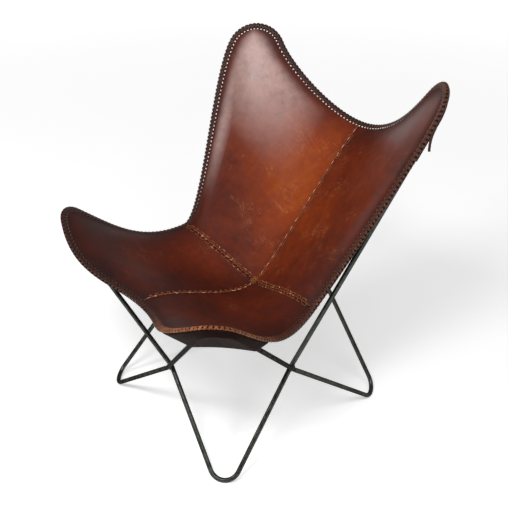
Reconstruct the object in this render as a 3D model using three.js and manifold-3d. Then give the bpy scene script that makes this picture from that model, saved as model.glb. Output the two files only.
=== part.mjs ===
import * as THREE from 'three';
import Module from 'manifold-3d';
import { mergeVertices } from 'three/addons/utils/BufferGeometryUtils.js';

// Butterfly chair: a leather sling hung on a frame of bent iron rod.
// Millimetres, +Z up, the floor is z = 0, the sitter faces -Y and +X is the sitter's left.

const wasm = await Module();
wasm.setup();

// Rod frame
const rodDiameter = 12;
const gap = 0.3;
const wearFlatDepth = 0.5;
const footHalfWidth = 246;
const footHalfDepth = 262;
const footBendRadius = 39;
const crossingBendRadius = 24;
const frontCrossingReach = 240;
const frontCrossingHeight = 194;
const sideCrossingHalfWidth = 236;
const sideCrossingForward = 32;
const sideCrossingHeight = 234;
const rearCrossingReach = 243;
const rearCrossingHeight = 341;
const frontHornBendRadius = 40;
const frontHornHalfWidth = 301;
const frontHornForward = 302;
const frontHornHeight = 492;
const rearHornBendRadius = 56;
const rearHornHalfWidth = 302;
const rearHornReach = 293;
const rearHornHeight = 832;
const weldRadius = 9.5;
const weldBoreRadius = 2;

// Leather sling
const leatherThickness = 3.6;
const seatCentreReach = 40;
const seatCentreHeight = 344;
const sideEdgeHalfWidth = 266;
const sideEdgeReach = 1;
const sideEdgeHeight = 411;
const sideEdgeClimb = 16;
const sideEdgeToeIn = 17;
const backEdgeBehindHorn = 107;
const backEdgeHeight = 699;
const frontEdgeForward = 314;
const frontEdgeHeight = 420;
const seatSlope = 25;
const backTopSlope = 31;
const frontRollSlope = -20;
const frontHornMargin = 17;
const rearHornMargin = 22;
const frontTipFrontOffset = 7;
const rearTipSideOffset = 6;
const frontTipFrontTurn = 35;
const frontTipSideTurn = 58;
const rearTipBackTurn = 66;
const rearTipSideTurn = 64;

// Reach of each curve's handles
const sideEdgeRearHandle = 59;
const sideEdgeFrontHandle = 133;
const rearTipSideHandle = 114;
const frontTipSideHandle = 118;
const backEdgeHandle = 116;
const rearTipBackHandle = 68;
const frontEdgeHandle = 130;
const frontTipFrontHandle = 163;
const seatBackHandle = 68;
const backTopHandle = 105;
const seatFrontHandle = 96;
const frontRollHandle = 91;
const sideSeamHandle = 66;
const sideSeamRise = 93;
const sideSeamReachIn = -11;
const sideSeamHalfWidth = 175;

// Lacing, seams and pockets
const laceWidth = 13;
const laceThickness = 1.4;
const seamLaceHalfWidth = 7;
const seamLaceThickness = 1.6;
const rosetteRadius = 13;
const rosetteRise = 3;
const pocketThickness = 2.4;
const frontPocketMouthLength = 85;
const frontPocketSideMouthLength = 105;
const rearPocketMouthLength = 90;
const tailStartLength = 8;
const tailLength = 50;
const tailWidth = 6;
const tailThickness = 2;
const tailLean = 14;

// Counts
const rodSides = 12;
const bendSteps = 10;
const crossingSteps = 2;
const weldColumns = 20;
const weldRows = 12;
const panelSteps = 17;
const rimGatherShare = 1.25;
const pocketLegSteps = 3;
const pocketRoundSteps = 3;
const rosetteSteps = 4;
const tailSteps = 4;

const rodRadius = rodDiameter / 2;
const halfLeather = leatherThickness / 2;
const seatLift = rodRadius + gap + halfLeather;
const up = new THREE.Vector3(0, 0, 1);
const across = new THREE.Vector3(1, 0, 0);

const point = (x, y, z) => new THREE.Vector3(x, y, z);
const along = (from, direction, distance) => from.clone().addScaledVector(direction, distance);
const heading = (from, to) => to.clone().sub(from).normalize();
const mirrored = (p) => point(-p.x, p.y, p.z);
const cosine = (degrees) => Math.cos(THREE.MathUtils.degToRad(degrees));
const sine = (degrees) => Math.sin(THREE.MathUtils.degToRad(degrees));

const chair = new THREE.Group();
chair.name = 'butterfly_sling_chair';

const iron = { color: 0x23251f, roughness: 0.42, metalness: 0.75 };
const weldIron = { color: 0x2c2b27, roughness: 0.6, metalness: 0.7 };
const chestnut = { color: 0x7a3411, roughness: 0.36, metalness: 0 };
const darkHide = { color: 0x2a1712, roughness: 0.55, metalness: 0 };
const lace = { color: 0x2b1815, roughness: 0.5, metalness: 0 };
const seamThong = { color: 0x8a4a26, roughness: 0.5, metalness: 0 };

function addPart(name, geometry, look) {
  const mesh = new THREE.Mesh(geometry, new THREE.MeshStandardMaterial(look));
  mesh.name = name;
  chair.add(mesh);
}

// A solid body for joins and cuts, and back to a geometry

function toSolid(geometry) {
  const bare = geometry.clone();
  bare.deleteAttribute('normal');
  bare.deleteAttribute('uv');
  const merged = mergeVertices(bare);
  return new wasm.Manifold(new wasm.Mesh({
    numProp: 3,
    vertProperties: new Float32Array(merged.attributes.position.array),
    triVerts: new Uint32Array(merged.index.array),
  }));
}

function toGeometry(solid) {
  const mesh = solid.getMesh();
  const geometry = new THREE.BufferGeometry();
  geometry.setAttribute('position', new THREE.BufferAttribute(mesh.vertProperties, 3));
  geometry.setIndex(new THREE.BufferAttribute(mesh.triVerts, 1));
  return geometry;
}

// Curves. A guided curve passes through listed stations, each with its own place and frame.

class GuidedCurve extends THREE.Curve {
  constructor(stations) {
    super();
    this.stations = stations;
  }

  station(u) {
    return this.stations[Math.round(u * (this.stations.length - 1))];
  }

  getPointAt(u) {
    return this.station(u).place.clone();
  }

  computeFrenetFrames() {
    return {
      tangents: this.stations.map((s) => s.tangent.clone()),
      normals: this.stations.map((s) => s.normal.clone()),
      binormals: this.stations.map((s) => s.binormal.clone()),
    };
  }
}

class PlaneArc extends THREE.Curve {
  constructor(centre, radius, fromAxis, toAxis, startTurn, endTurn) {
    super();
    Object.assign(this, { centre, radius, fromAxis, toAxis, startTurn, endTurn });
  }

  getPoint(t) {
    const turn = THREE.MathUtils.lerp(this.startTurn, this.endTurn, t);
    const spoke = this.fromAxis.clone().multiplyScalar(cosine(turn)).addScaledVector(this.toAxis, sine(turn));
    return along(this.centre, spoke, this.radius);
  }
}

// Frame: two closed rods, each handed over as the four bent spans between its crossings.
// Every corner of a rod is rounded, and each span starts and ends in the middle of a crossing's bend.

const crossings = {
  front: point(0, -frontCrossingReach, frontCrossingHeight),
  left: point(sideCrossingHalfWidth, -sideCrossingForward, sideCrossingHeight),
  rear: point(0, rearCrossingReach, rearCrossingHeight),
  right: point(-sideCrossingHalfWidth, -sideCrossingForward, sideCrossingHeight),
};
const outward = {
  front: point(0, -1, 0), left: point(1, 0, 0), rear: point(0, 1, 0), right: point(-1, 0, 0),
};
const crossingOffset = rodRadius + gap;

function crossingCorner(name, side) {
  return along(crossings[name], outward[name], side * crossingOffset);
}

// A horn's bend: its centre is given, and the legs leave it as tangents towards two crossings.
function hornBend(centre, radius, legA, legB) {
  const normal = legA.clone().sub(centre).cross(legB.clone().sub(centre)).normalize();
  const spoke = (leg, side) => {
    const distance = leg.distanceTo(centre);
    const toLeg = heading(centre, leg);
    const sideways = normal.clone().cross(toLeg);
    const share = radius / distance;
    return toLeg.multiplyScalar(share).addScaledVector(sideways, side * Math.sqrt(1 - share * share));
  };
  const spokeA = spoke(legA, -1);
  const spokeB = spoke(legB, 1);
  const apex = spokeA.clone().add(spokeB).normalize();
  const corner = along(centre, apex, radius / apex.dot(spokeA));
  const face = normal.z < 0 ? normal.clone().negate() : normal;
  return { centre, radius, apex, face, corner, spokeA, spokeB };
}

// A foot's bend: its lowest point touches the floor, worn flat by wearFlatDepth.
function footCorner(x, y, legA, legB) {
  const lowest = point(x, y, rodRadius - wearFlatDepth);
  const normal = legA.clone().sub(lowest).cross(legB.clone().sub(lowest)).normalize();
  const climb = up.clone().addScaledVector(normal, -normal.dot(up)).normalize();
  const centre = along(lowest, climb, footBendRadius);
  return hornBend(centre, footBendRadius, legA, legB).corner;
}

// Stations round one corner: an arc of the given radius, tangent to both legs.
function roundedCorner(before, corner, after, radius, steps) {
  const toBefore = heading(corner, before);
  const toAfter = heading(corner, after);
  const half = toBefore.angleTo(toAfter) / 2;
  const inward = toBefore.clone().add(toAfter).normalize();
  const centre = along(corner, inward, radius / Math.sin(half));
  const turn = Math.PI / 2 - half;
  const sideways = toAfter.clone().sub(toBefore).normalize();
  return Array.from({ length: steps + 1 }, (_, i) => {
    const angle = THREE.MathUtils.lerp(-turn, turn, i / steps);
    const spoke = inward.clone().multiplyScalar(-Math.cos(angle)).addScaledVector(sideways, Math.sin(angle));
    const tangent = inward.clone().multiplyScalar(Math.sin(angle)).addScaledVector(sideways, Math.cos(angle));
    return { place: along(centre, spoke, radius), tangent };
  });
}

function rodGeometry(places) {
  const stations = places.map((s) => ({ place: s.place.clone(), tangent: s.tangent.clone() }));
  const last = stations.length - 1;
  stations[0].place.addScaledVector(stations[0].tangent, gap / 2);
  stations[last].place.addScaledVector(stations[last].tangent, -gap / 2);
  let normal = stations[0].tangent.clone().cross(up).normalize();
  for (const station of stations) {
    normal = normal.clone().addScaledVector(station.tangent, -normal.dot(station.tangent)).normalize();
    station.normal = normal;
    station.binormal = station.tangent.clone().cross(normal);
  }
  const outline = Array.from({ length: rodSides }, (_, i) => {
    const angle = (2 * Math.PI * (i + 1 / 2)) / rodSides;
    return new THREE.Vector2(rodRadius * Math.cos(angle), rodRadius * Math.sin(angle));
  });
  return new THREE.ExtrudeGeometry(new THREE.Shape(outline), {
    steps: last, extrudePath: new GuidedCurve(stations),
  });
}

const footPlaces = {
  front_left: [1, -1], front_right: [-1, -1], rear_left: [1, 1], rear_right: [-1, 1],
};
const hornCentres = {
  front_left: point(frontHornHalfWidth, -frontHornForward, frontHornHeight),
  front_right: point(-frontHornHalfWidth, -frontHornForward, frontHornHeight),
  rear_left: point(rearHornHalfWidth, rearHornReach, rearHornHeight),
  rear_right: point(-rearHornHalfWidth, rearHornReach, rearHornHeight),
};
const hornRadius = (place) => (place.startsWith('front') ? frontHornBendRadius : rearHornBendRadius);

// Each rod as its round of corners: foot, crossing, horn, crossing, twice. side puts it inside or outside.
const innerRod = {
  side: -1,
  round: [
    'foot front_left', 'left', 'horn rear_left', 'rear',
    'foot rear_right', 'right', 'horn front_right', 'front',
  ],
};
const outerRod = {
  side: 1,
  round: [
    'foot front_right', 'front', 'horn front_left', 'left',
    'foot rear_left', 'rear', 'horn rear_right', 'right',
  ],
};

function rodCorners({ side, round }) {
  const count = round.length;
  return round.map((label, i) => {
    const [kind, place] = label.split(' ');
    if (place === undefined) {
      return { label, corner: crossingCorner(kind, side), radius: crossingBendRadius };
    }
    const legA = crossingCorner(round[(i + count - 1) % count], side);
    const legB = crossingCorner(round[(i + 1) % count], side);
    if (kind === 'horn') {
      const radius = hornRadius(place);
      return { label, corner: hornBend(hornCentres[place], radius, legA, legB).corner, radius };
    }
    const [sideX, sideY] = footPlaces[place];
    const corner = footCorner(sideX * footHalfWidth, sideY * footHalfDepth, legA, legB);
    return { label, corner, radius: footBendRadius };
  });
}

const reach = 2 * (footHalfWidth + footHalfDepth);
const floorBox = toSolid(new THREE.BoxGeometry(reach, reach, reach).translate(0, 0, -reach / 2));

function addSpans(rod) {
  const corners = rodCorners(rod);
  const at = (i) => corners[(i + corners.length) % corners.length];
  const bend = (i, steps) => (
    roundedCorner(at(i - 1).corner, at(i).corner, at(i + 1).corner, at(i).radius, steps)
  );
  corners.forEach(({ label }, i) => {
    const [kind, place] = label.split(' ');
    if (place === undefined) {
      return;
    }
    const places = [
      ...bend(i - 1, 2 * crossingSteps).slice(crossingSteps),
      ...bend(i, bendSteps),
      ...bend(i + 1, 2 * crossingSteps).slice(0, crossingSteps + 1),
    ];
    const geometry = rodGeometry(places);
    const isFoot = kind === 'foot';
    const finished = isFoot ? toGeometry(toSolid(geometry).subtract(floorBox)) : geometry;
    addPart(`${kind}_rod_${place}`, finished, iron);
  });
}

addSpans(innerRod);
addSpans(outerRod);

// Weld fillets: a bead round the point where the two rods meet, cut back from both rods.
function rodThrough(rod, name) {
  const corners = rodCorners(rod);
  const i = rod.round.indexOf(name);
  const at = (k) => corners[(k + corners.length) % corners.length].corner;
  const places = roundedCorner(at(i - 1), at(i), at(i + 1), crossingBendRadius, 2 * crossingSteps);
  const first = { place: along(places[0].place, places[0].tangent, -weldRadius), tangent: places[0].tangent };
  const lastPlace = places[places.length - 1];
  const last = { place: along(lastPlace.place, lastPlace.tangent, weldRadius), tangent: lastPlace.tangent };
  const stations = [first, ...places, last];
  let normal = first.tangent.clone().cross(up).normalize();
  for (const station of stations) {
    normal = normal.clone().addScaledVector(station.tangent, -normal.dot(station.tangent)).normalize();
    station.normal = normal;
    station.binormal = station.tangent.clone().cross(normal);
  }
  const clearRadius = rodRadius + gap;
  const outline = Array.from({ length: rodSides }, (_, k) => {
    const angle = (2 * Math.PI * (k + 1 / 2)) / rodSides;
    return new THREE.Vector2(clearRadius * Math.cos(angle), clearRadius * Math.sin(angle));
  });
  return toSolid(new THREE.ExtrudeGeometry(new THREE.Shape(outline), {
    steps: stations.length - 1, extrudePath: new GuidedCurve(stations),
  }));
}

// The bead is a ring: none of it lies in the middle, where the rods touch.
function contactBore(name) {
  const turn = new THREE.Quaternion().setFromUnitVectors(point(0, 1, 0), outward[name]);
  const bore = new THREE.CylinderGeometry(weldBoreRadius, weldBoreRadius, 2 * weldRadius, rodSides);
  return toSolid(bore.applyQuaternion(turn).translate(...crossings[name].toArray()));
}

for (const name of Object.keys(crossings)) {
  const ball = new THREE.SphereGeometry(weldRadius, weldColumns, weldRows);
  const bead = ball.translate(...crossings[name].toArray());
  const weld = toSolid(bead).subtract(rodThrough(innerRod, name)).subtract(rodThrough(outerRod, name));
  addPart(`weld_${name}`, toGeometry(weld.subtract(contactBore(name))), weldIron);
}

// Sling: edge and seam curves of the left half. The right half mirrors it.

const frontHorn = hornBend(
  hornCentres.front_left, frontHornBendRadius, crossingCorner('front', 1), crossingCorner('left', 1),
);
const rearHorn = hornBend(
  hornCentres.rear_left, rearHornBendRadius, crossingCorner('rear', -1), crossingCorner('left', -1),
);

// A tip of the sling: an arc round the horn's bend, on the rods' upper face. legA is its centre side,
// and the arc's centre lies off the bend's by offsetA towards it.
function slingTip(horn, margin, offsetA, turnA, turnB) {
  const sideways = horn.spokeA.clone().addScaledVector(horn.apex, -horn.spokeA.dot(horn.apex)).normalize();
  const centre = along(along(horn.centre, horn.face, seatLift), sideways, offsetA);
  const radius = horn.radius + margin;
  const end = (turn) => {
    const spoke = horn.apex.clone().multiplyScalar(cosine(turn)).addScaledVector(sideways, sine(turn));
    return along(centre, spoke, radius);
  };
  const inbound = (turn) => {
    const side = Math.sign(turn);
    const away = horn.apex.clone().multiplyScalar(side * sine(turn));
    return away.addScaledVector(sideways, -side * cosine(turn));
  };
  const arc = (turn) => new PlaneArc(centre, radius, horn.apex, sideways, turn, 0);
  return {
    horn, centre, sideways, radius,
    endA: end(turnA), endB: end(-turnB), inboundA: inbound(turnA), inboundB: inbound(-turnB),
    arcA: arc(turnA), arcB: arc(-turnB), tip: end(0),
  };
}

const frontTip = slingTip(
  frontHorn, frontHornMargin, frontTipFrontOffset, frontTipFrontTurn, frontTipSideTurn,
);
const rearTip = slingTip(rearHorn, rearHornMargin, -rearTipSideOffset, rearTipBackTurn, rearTipSideTurn);

const seatCentre = point(0, seatCentreReach, seatCentreHeight);
const sideMid = point(sideEdgeHalfWidth, sideEdgeReach, sideEdgeHeight);
const backMid = point(0, rearHornReach + backEdgeBehindHorn, backEdgeHeight);
const frontMid = point(0, -frontEdgeForward, frontEdgeHeight);
const sideRun = point(
  -sine(sideEdgeToeIn) * cosine(sideEdgeClimb),
  cosine(sideEdgeToeIn) * cosine(sideEdgeClimb),
  sine(sideEdgeClimb),
);
const seatRun = point(0, cosine(seatSlope), sine(seatSlope));
const backTopRun = point(0, cosine(backTopSlope), sine(backTopSlope));
const frontRollRun = point(0, -cosine(frontRollSlope), sine(frontRollSlope));

function bezier(start, startRun, startHandle, end, endRun, endHandle) {
  return new THREE.CubicBezierCurve3(
    start.clone(), along(start, startRun, startHandle), along(end, endRun, -endHandle), end.clone(),
  );
}

function halfEdge(middle, run, runHandle, end, inbound, endHandle, arc) {
  const edge = new THREE.CurvePath();
  edge.add(bezier(middle, run, runHandle, end, inbound, endHandle));
  edge.add(arc);
  return edge;
}

const sideRearEdge = halfEdge(
  sideMid, sideRun, sideEdgeRearHandle, rearTip.endB, rearTip.inboundB, rearTipSideHandle, rearTip.arcB,
);
const sideFrontEdge = halfEdge(
  sideMid, sideRun, -sideEdgeFrontHandle, frontTip.endB, frontTip.inboundB, frontTipSideHandle, frontTip.arcB,
);
const backEdge = halfEdge(
  backMid, across, backEdgeHandle, rearTip.endA, rearTip.inboundA, rearTipBackHandle, rearTip.arcA,
);
const frontEdge = halfEdge(
  frontMid, across, frontEdgeHandle, frontTip.endA, frontTip.inboundA, frontTipFrontHandle, frontTip.arcA,
);
const backSeam = bezier(seatCentre, seatRun, seatBackHandle, backMid, backTopRun, backTopHandle);
const frontSeam = bezier(seatCentre, seatRun, -seatFrontHandle, frontMid, frontRollRun, frontRollHandle);
const sideSeam = new THREE.CubicBezierCurve3(
  seatCentre.clone(),
  along(seatCentre, across, sideSeamHandle),
  point(sideSeamHalfWidth, sideSeamReachIn, seatCentreHeight + sideSeamRise),
  sideMid.clone(),
);

// A panel is blended between its four border curves:
// the sum of the two lofts between facing borders, less the flat blend of the four corners.
function panelSurface(seamA, seamB, edgeA, edgeB) {
  const corner = {
    centre: seamA.getPointAt(0),
    midA: seamA.getPointAt(1),
    midB: seamB.getPointAt(1),
    tip: edgeA.getPointAt(1),
  };
  return (s, t) => {
    const blend = point(0, 0, 0);
    blend.addScaledVector(seamA.getPointAt(s), 1 - t).addScaledVector(edgeB.getPointAt(s), t);
    blend.addScaledVector(seamB.getPointAt(t), 1 - s).addScaledVector(edgeA.getPointAt(t), s);
    blend.addScaledVector(corner.centre, -(1 - s) * (1 - t)).addScaledVector(corner.midA, -s * (1 - t));
    blend.addScaledVector(corner.midB, -(1 - s) * t).addScaledVector(corner.tip, -s * t);
    return blend;
  };
}

const frontPanel = panelSurface(sideSeam, frontSeam, sideFrontEdge, frontEdge);
const rearPanel = panelSurface(sideSeam, backSeam, sideRearEdge, backEdge);

// Normals of a grid, as the mean of the faces round each point, all turned to the sitter's side.
function gridNormals(grid) {
  const normals = grid.map((row) => row.map(() => point(0, 0, 0)));
  for (let i = 0; i + 1 < grid.length; i += 1) {
    for (let j = 0; j + 1 < grid[i].length; j += 1) {
      const [a, b, c, d] = [grid[i][j], grid[i + 1][j], grid[i + 1][j + 1], grid[i][j + 1]];
      const cross = c.clone().sub(a).cross(d.clone().sub(b));
      for (const [k, l] of [[i, j], [i + 1, j], [i + 1, j + 1], [i, j + 1]]) {
        normals[k][l].add(cross);
      }
    }
  }
  normals.flat().forEach((n) => n.multiplyScalar(Math.sign(n.z)).normalize());
  return normals;
}

// A closed body from points and triangles, turned right side out.
function closedBody(points, faces) {
  const volume = faces.reduce(
    (sum, [a, b, c]) => sum + points[a].dot(points[b].clone().cross(points[c])), 0,
  );
  const geometry = new THREE.BufferGeometry();
  geometry.setAttribute('position', new THREE.Float32BufferAttribute(points.flatMap((p) => p.toArray()), 3));
  geometry.setIndex(faces.flatMap(([a, b, c]) => (volume < 0 ? [a, c, b] : [a, b, c])));
  return geometry;
}

// A sheet with thickness: the same faces on both sides, and a wall along every free border.
function thickened(points, normals, faces, low, high) {
  const count = points.length;
  const both = [
    ...points.map((p, i) => along(p, normals[i], high)),
    ...points.map((p, i) => along(p, normals[i], low)),
  ];
  const directed = new Map();
  for (const face of faces) {
    face.forEach((a, i) => directed.set(`${a} ${face[(i + 1) % face.length]}`, true));
  }
  const walls = [];
  for (const face of faces) {
    face.forEach((a, i) => {
      const b = face[(i + 1) % face.length];
      if (!directed.has(`${b} ${a}`)) {
        walls.push([b, a, count + a], [b, count + a, count + b]);
      }
    });
  }
  const lower = faces.map(([a, b, c]) => [count + a, count + c, count + b]);
  return closedBody(both, [...faces, ...lower, ...walls]);
}

function gridFaces(rows, columns) {
  const faces = [];
  for (let i = 0; i + 1 < rows; i += 1) {
    for (let j = 0; j + 1 < columns; j += 1) {
      const a = i * columns + j;
      const b = a + columns;
      faces.push([a, b, b + 1], [a, b + 1, a + 1]);
    }
  }
  return faces;
}

function sheetGeometry(grid, normals, low, high) {
  return thickened(grid.flat(), normals.flat(), gridFaces(grid.length, grid[0].length), low, high);
}

// Triangles that fill an outline, each in the outline's own turning order.
function outlineFaces(outline) {
  return THREE.ShapeUtils.triangulateShape([...outline], []).map((face) => face.sort((a, b) => a - b));
}

// A body through a row of sections, each the same closed outline bent a little further.
// leans says which way the two triangles of a side cell share their edge.
function lofted(sections, outline, leans) {
  const around = outline.length;
  const faces = [];
  for (let k = 0; k + 1 < sections.length; k += 1) {
    outline.forEach((_, i) => {
      const next = (i + 1) % around;
      const a = k * around + i;
      const b = k * around + next;
      if (leans(k, outline[i], outline[next])) {
        faces.push([a, b, b + around], [a, b + around, a + around]);
      } else {
        faces.push([a, b, a + around], [b, b + around, a + around]);
      }
    });
  }
  const end = (sections.length - 1) * around;
  for (const [a, b, c] of outlineFaces(outline)) {
    faces.push([a, c, b], [end + a, end + b, end + c]);
  }
  return closedBody(sections.flat(), faces);
}

function mirrorGeometry(geometry) {
  const copy = geometry.clone();
  copy.scale(-1, 1, 1);
  const order = Array.from(copy.index.array);
  const turned = order.map((_, i) => order[i - (i % 3) + [0, 2, 1][i % 3]]);
  copy.setIndex(turned);
  return copy;
}

function addPair(name, geometry, look) {
  addPart(`${name}_left`, geometry, look);
  addPart(`${name}_right`, mirrorGeometry(geometry), look);
}

// Both left panels, each kept half a gap back from its seams. The outermost strip keeps one width,
// so that the lacing lies flat on it, and the other rows gather towards the tips.
function panelGrid(surface, seamA, seamB, edgeA, edgeB) {
  const step = (k) => 1 - (1 - k / (panelSteps - 1)) ** rimGatherShare;
  const share = (k, width) => {
    if (k === panelSteps) {
      return 1;
    }
    const inset = gap / 2 / width;
    return inset + step(k) * (1 - inset - laceWidth / width);
  };
  const span = (seam, edge, k) => THREE.MathUtils.lerp(seam.getLength(), edge.getLength(), k / panelSteps);
  const steps = Array.from({ length: panelSteps + 1 }, (_, k) => k);
  return steps.map((i) => steps.map((j) => (
    surface(share(i, span(seamA, edgeB, j)), share(j, span(seamB, edgeA, i)))
  )));
}

const frontGrid = panelGrid(frontPanel, sideSeam, frontSeam, sideFrontEdge, frontEdge);
const rearGrid = panelGrid(rearPanel, sideSeam, backSeam, sideRearEdge, backEdge);
const frontNormals = gridNormals(frontGrid);
const rearNormals = gridNormals(rearGrid);
for (let i = 0; i <= panelSteps; i += 1) {
  const shared = frontNormals[i][0].clone().add(rearNormals[i][0]).normalize();
  frontNormals[i][0].copy(shared);
  rearNormals[i][0].copy(shared);
}
for (const normals of [frontNormals, rearNormals]) {
  normals[0].forEach((n) => n.setX(0).normalize());
}

addPair('sling_panel_front', sheetGeometry(frontGrid, frontNormals, -halfLeather, halfLeather), chestnut);
addPair('sling_panel_rear', sheetGeometry(rearGrid, rearNormals, -halfLeather, halfLeather), chestnut);

// Edge lacing: a channel that wraps the sling's edge. Each stretch goes round one horn, from the middle
// of one edge to the middle of the next. A station knows the edge, the inner line of the outermost strip,
// and both normals. At the tip both strips share one inner point, which mitres the lacing.

function rimStations(grid, normals, pick) {
  return Array.from({ length: panelSteps + 1 }, (_, k) => {
    const [i, j] = pick(k, panelSteps);
    const [m, n] = pick(Math.min(k, panelSteps - 1), panelSteps - 1);
    return { edge: grid[i][j], edgeUp: normals[i][j], inner: grid[m][n], innerUp: normals[m][n] };
  });
}

function rimRound(grid, normals) {
  const side = rimStations(grid, normals, (k, last) => [last, k]);
  const end = rimStations(grid, normals, (k, last) => [k, last]);
  return [...side, ...end.slice(0, -1).reverse()];
}

const frontRim = rimRound(frontGrid, frontNormals);
const rearRim = rimRound(rearGrid, rearNormals);

const laceInner = halfLeather + gap;
const laceOuter = laceInner + laceThickness;
const laceBack = gap + laceThickness;
const laceOutline = [
  [laceWidth, laceInner], [laceWidth, laceOuter], [-laceBack, laceOuter], [-laceBack, -laceOuter],
  [laceWidth, -laceOuter], [laceWidth, -laceInner], [-gap, -laceInner], [-gap, laceInner],
].map(([x, y]) => new THREE.Vector2(x, y));

// A point of the strip: x from the edge inwards, y off the leather's middle.
function onStrip(station, x, y) {
  const share = x / laceWidth;
  const place = station.edge.clone().lerp(station.inner, share);
  const lift = station.edgeUp.clone().lerp(station.innerUp, Math.max(share, 0)).normalize();
  return along(place, lift, y);
}

// Its cells fold the same way as the panel's, which run from the inner line towards the tip.
const laceGeometry = (rim) => lofted(
  rim.map((station) => laceOutline.map(({ x, y }) => onStrip(station, x, y))),
  laceOutline,
  (k, from, to) => (from.x > to.x) === (k < panelSteps),
);
addPair('edge_lacing_front', laceGeometry(frontRim), lace);
addPair('edge_lacing_rear', laceGeometry(rearRim), lace);

// Pockets: a second leather under each tip, from the rim round the horn's rod and across below it.
// Each section runs from the rim straight to the rod, then round it to its lowest point.

const pocketRadius = rodRadius + gap + pocketThickness / 2;
const pocketDrop = laceOuter + gap + pocketThickness / 2;

// Stations along a horn's rod: down the centre-side leg, round the bend, and down the other leg.
function hornStations(horn, legA, legB, mouthA, mouthB) {
  const bend = roundedCorner(legA, horn.corner, legB, horn.radius, bendSteps);
  const first = bend[0];
  const last = bend[bendSteps];
  const steps = Array.from({ length: pocketLegSteps }, (_, k) => (k + 1) / pocketLegSteps);
  const legStation = (from, distance) => ({
    place: along(from.place, from.tangent, distance), tangent: from.tangent,
  });
  const before = steps.map((share) => legStation(first, -share * mouthA)).reverse();
  const after = steps.map((share) => legStation(last, share * mouthB));
  return [...before, ...bend, ...after].map((station) => {
    const away = station.tangent.clone().cross(horn.face).normalize();
    const side = Math.sign(away.dot(station.place.clone().sub(horn.centre)));
    return { ...station, away: away.multiplyScalar(side) };
  });
}

// Where the rim passes the plane square to the rod at a station, on the rod's outer side.
function rimBeside(rim, station) {
  const ahead = (p) => p.clone().sub(station.place).dot(station.tangent);
  const found = rim.slice(0, -1).map((from, k) => {
    const to = rim[k + 1];
    const share = ahead(from.edge) / (ahead(from.edge) - ahead(to.edge));
    const edge = from.edge.clone().lerp(to.edge, share);
    const lift = from.edgeUp.clone().lerp(to.edgeUp, share).normalize();
    return { share, edge, lift };
  });
  const outside = ({ share, edge }) => share >= 0 && share <= 1
    && edge.clone().sub(station.place).dot(station.away) > 0;
  return found.find(outside);
}

function pocketGeometry(horn, stations, rim) {
  const points = [];
  const normals = [];
  const lowest = [];
  for (const station of stations) {
    const { edge, lift } = rimBeside(rim, station);
    const start = along(edge, lift, -pocketDrop);
    const offset = start.clone().sub(station.place);
    const flat = new THREE.Vector2(offset.dot(station.away), offset.dot(horn.face));
    const touch = Math.atan2(flat.y, flat.x) - Math.acos(pocketRadius / flat.length());
    const spoke = (turn) => station.away.clone().multiplyScalar(Math.cos(turn))
      .addScaledVector(horn.face, Math.sin(turn));
    points.push(start);
    normals.push(spoke(touch));
    for (let k = 0; k <= pocketRoundSteps; k += 1) {
      const turn = THREE.MathUtils.lerp(touch, -Math.PI / 2, k / pocketRoundSteps);
      points.push(along(station.place, spoke(turn), pocketRadius));
      normals.push(spoke(turn));
    }
    lowest.push(points.length - 1);
  }
  const sideways = horn.apex.clone().cross(horn.face);
  const floor = lowest.map((i) => new THREE.Vector2(points[i].dot(sideways), points[i].dot(horn.apex)));
  const across = outlineFaces(floor).map((face) => face.map((i) => lowest[i]));
  const faces = [...gridFaces(stations.length, pocketRoundSteps + 2), ...across];
  return thickened(points, normals, faces, -pocketThickness / 2, pocketThickness / 2);
}

// The right horns lie on the other rod than their mirror images, so each pocket is made for its own horn.
function addPocket(place, centreLeg, sideLeg, side, mouthA, mouthB, rim) {
  const legA = crossingCorner(centreLeg, side);
  const legB = crossingCorner(sideLeg, side);
  const horn = hornBend(hornCentres[place], hornRadius(place), legA, legB);
  const stations = hornStations(horn, legA, legB, mouthA, mouthB);
  addPart(`horn_pocket_${place}`, pocketGeometry(horn, stations, rim), darkHide);
  return stations;
}

const mirrorRim = (rim) => rim.map((s) => ({
  edge: mirrored(s.edge), edgeUp: mirrored(s.edgeUp), inner: mirrored(s.inner), innerUp: mirrored(s.innerUp),
}));
addPocket('front_left', 'front', 'left', 1, frontPocketMouthLength, frontPocketSideMouthLength, frontRim);
addPocket(
  'front_right', 'front', 'right', -1,
  frontPocketMouthLength, frontPocketSideMouthLength, mirrorRim(frontRim),
);
addPocket('rear_right', 'rear', 'right', 1, rearPocketMouthLength, rearPocketMouthLength, mirrorRim(rearRim));
const rearHornStations = addPocket(
  'rear_left', 'rear', 'left', -1,
  rearPocketMouthLength, rearPocketMouthLength, rearRim,
);

// Seams: a flat thong over each seam, from the rosette to the edge lacing.

function onPanel({ grid, normals }, i, j) {
  const [m, n] = [Math.floor(i), Math.floor(j)];
  const blend = (field) => {
    const near = field[m][n].clone().lerp(field[m][n + 1], j - n);
    const far = field[m + 1][n].clone().lerp(field[m + 1][n + 1], j - n);
    return near.lerp(far, i - m);
  };
  return { place: blend(grid), normal: blend(normals).normalize() };
}

const front = { grid: frontGrid, normals: frontNormals };
const rear = { grid: rearGrid, normals: rearNormals };
const mirroredPoint = (p) => ({ place: mirrored(p.place), normal: mirrored(p.normal) });
const halfway = (a, b) => ({
  place: a.place.clone().lerp(b.place, 1 / 2), normal: a.normal.clone().add(b.normal).normalize(),
});

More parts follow.
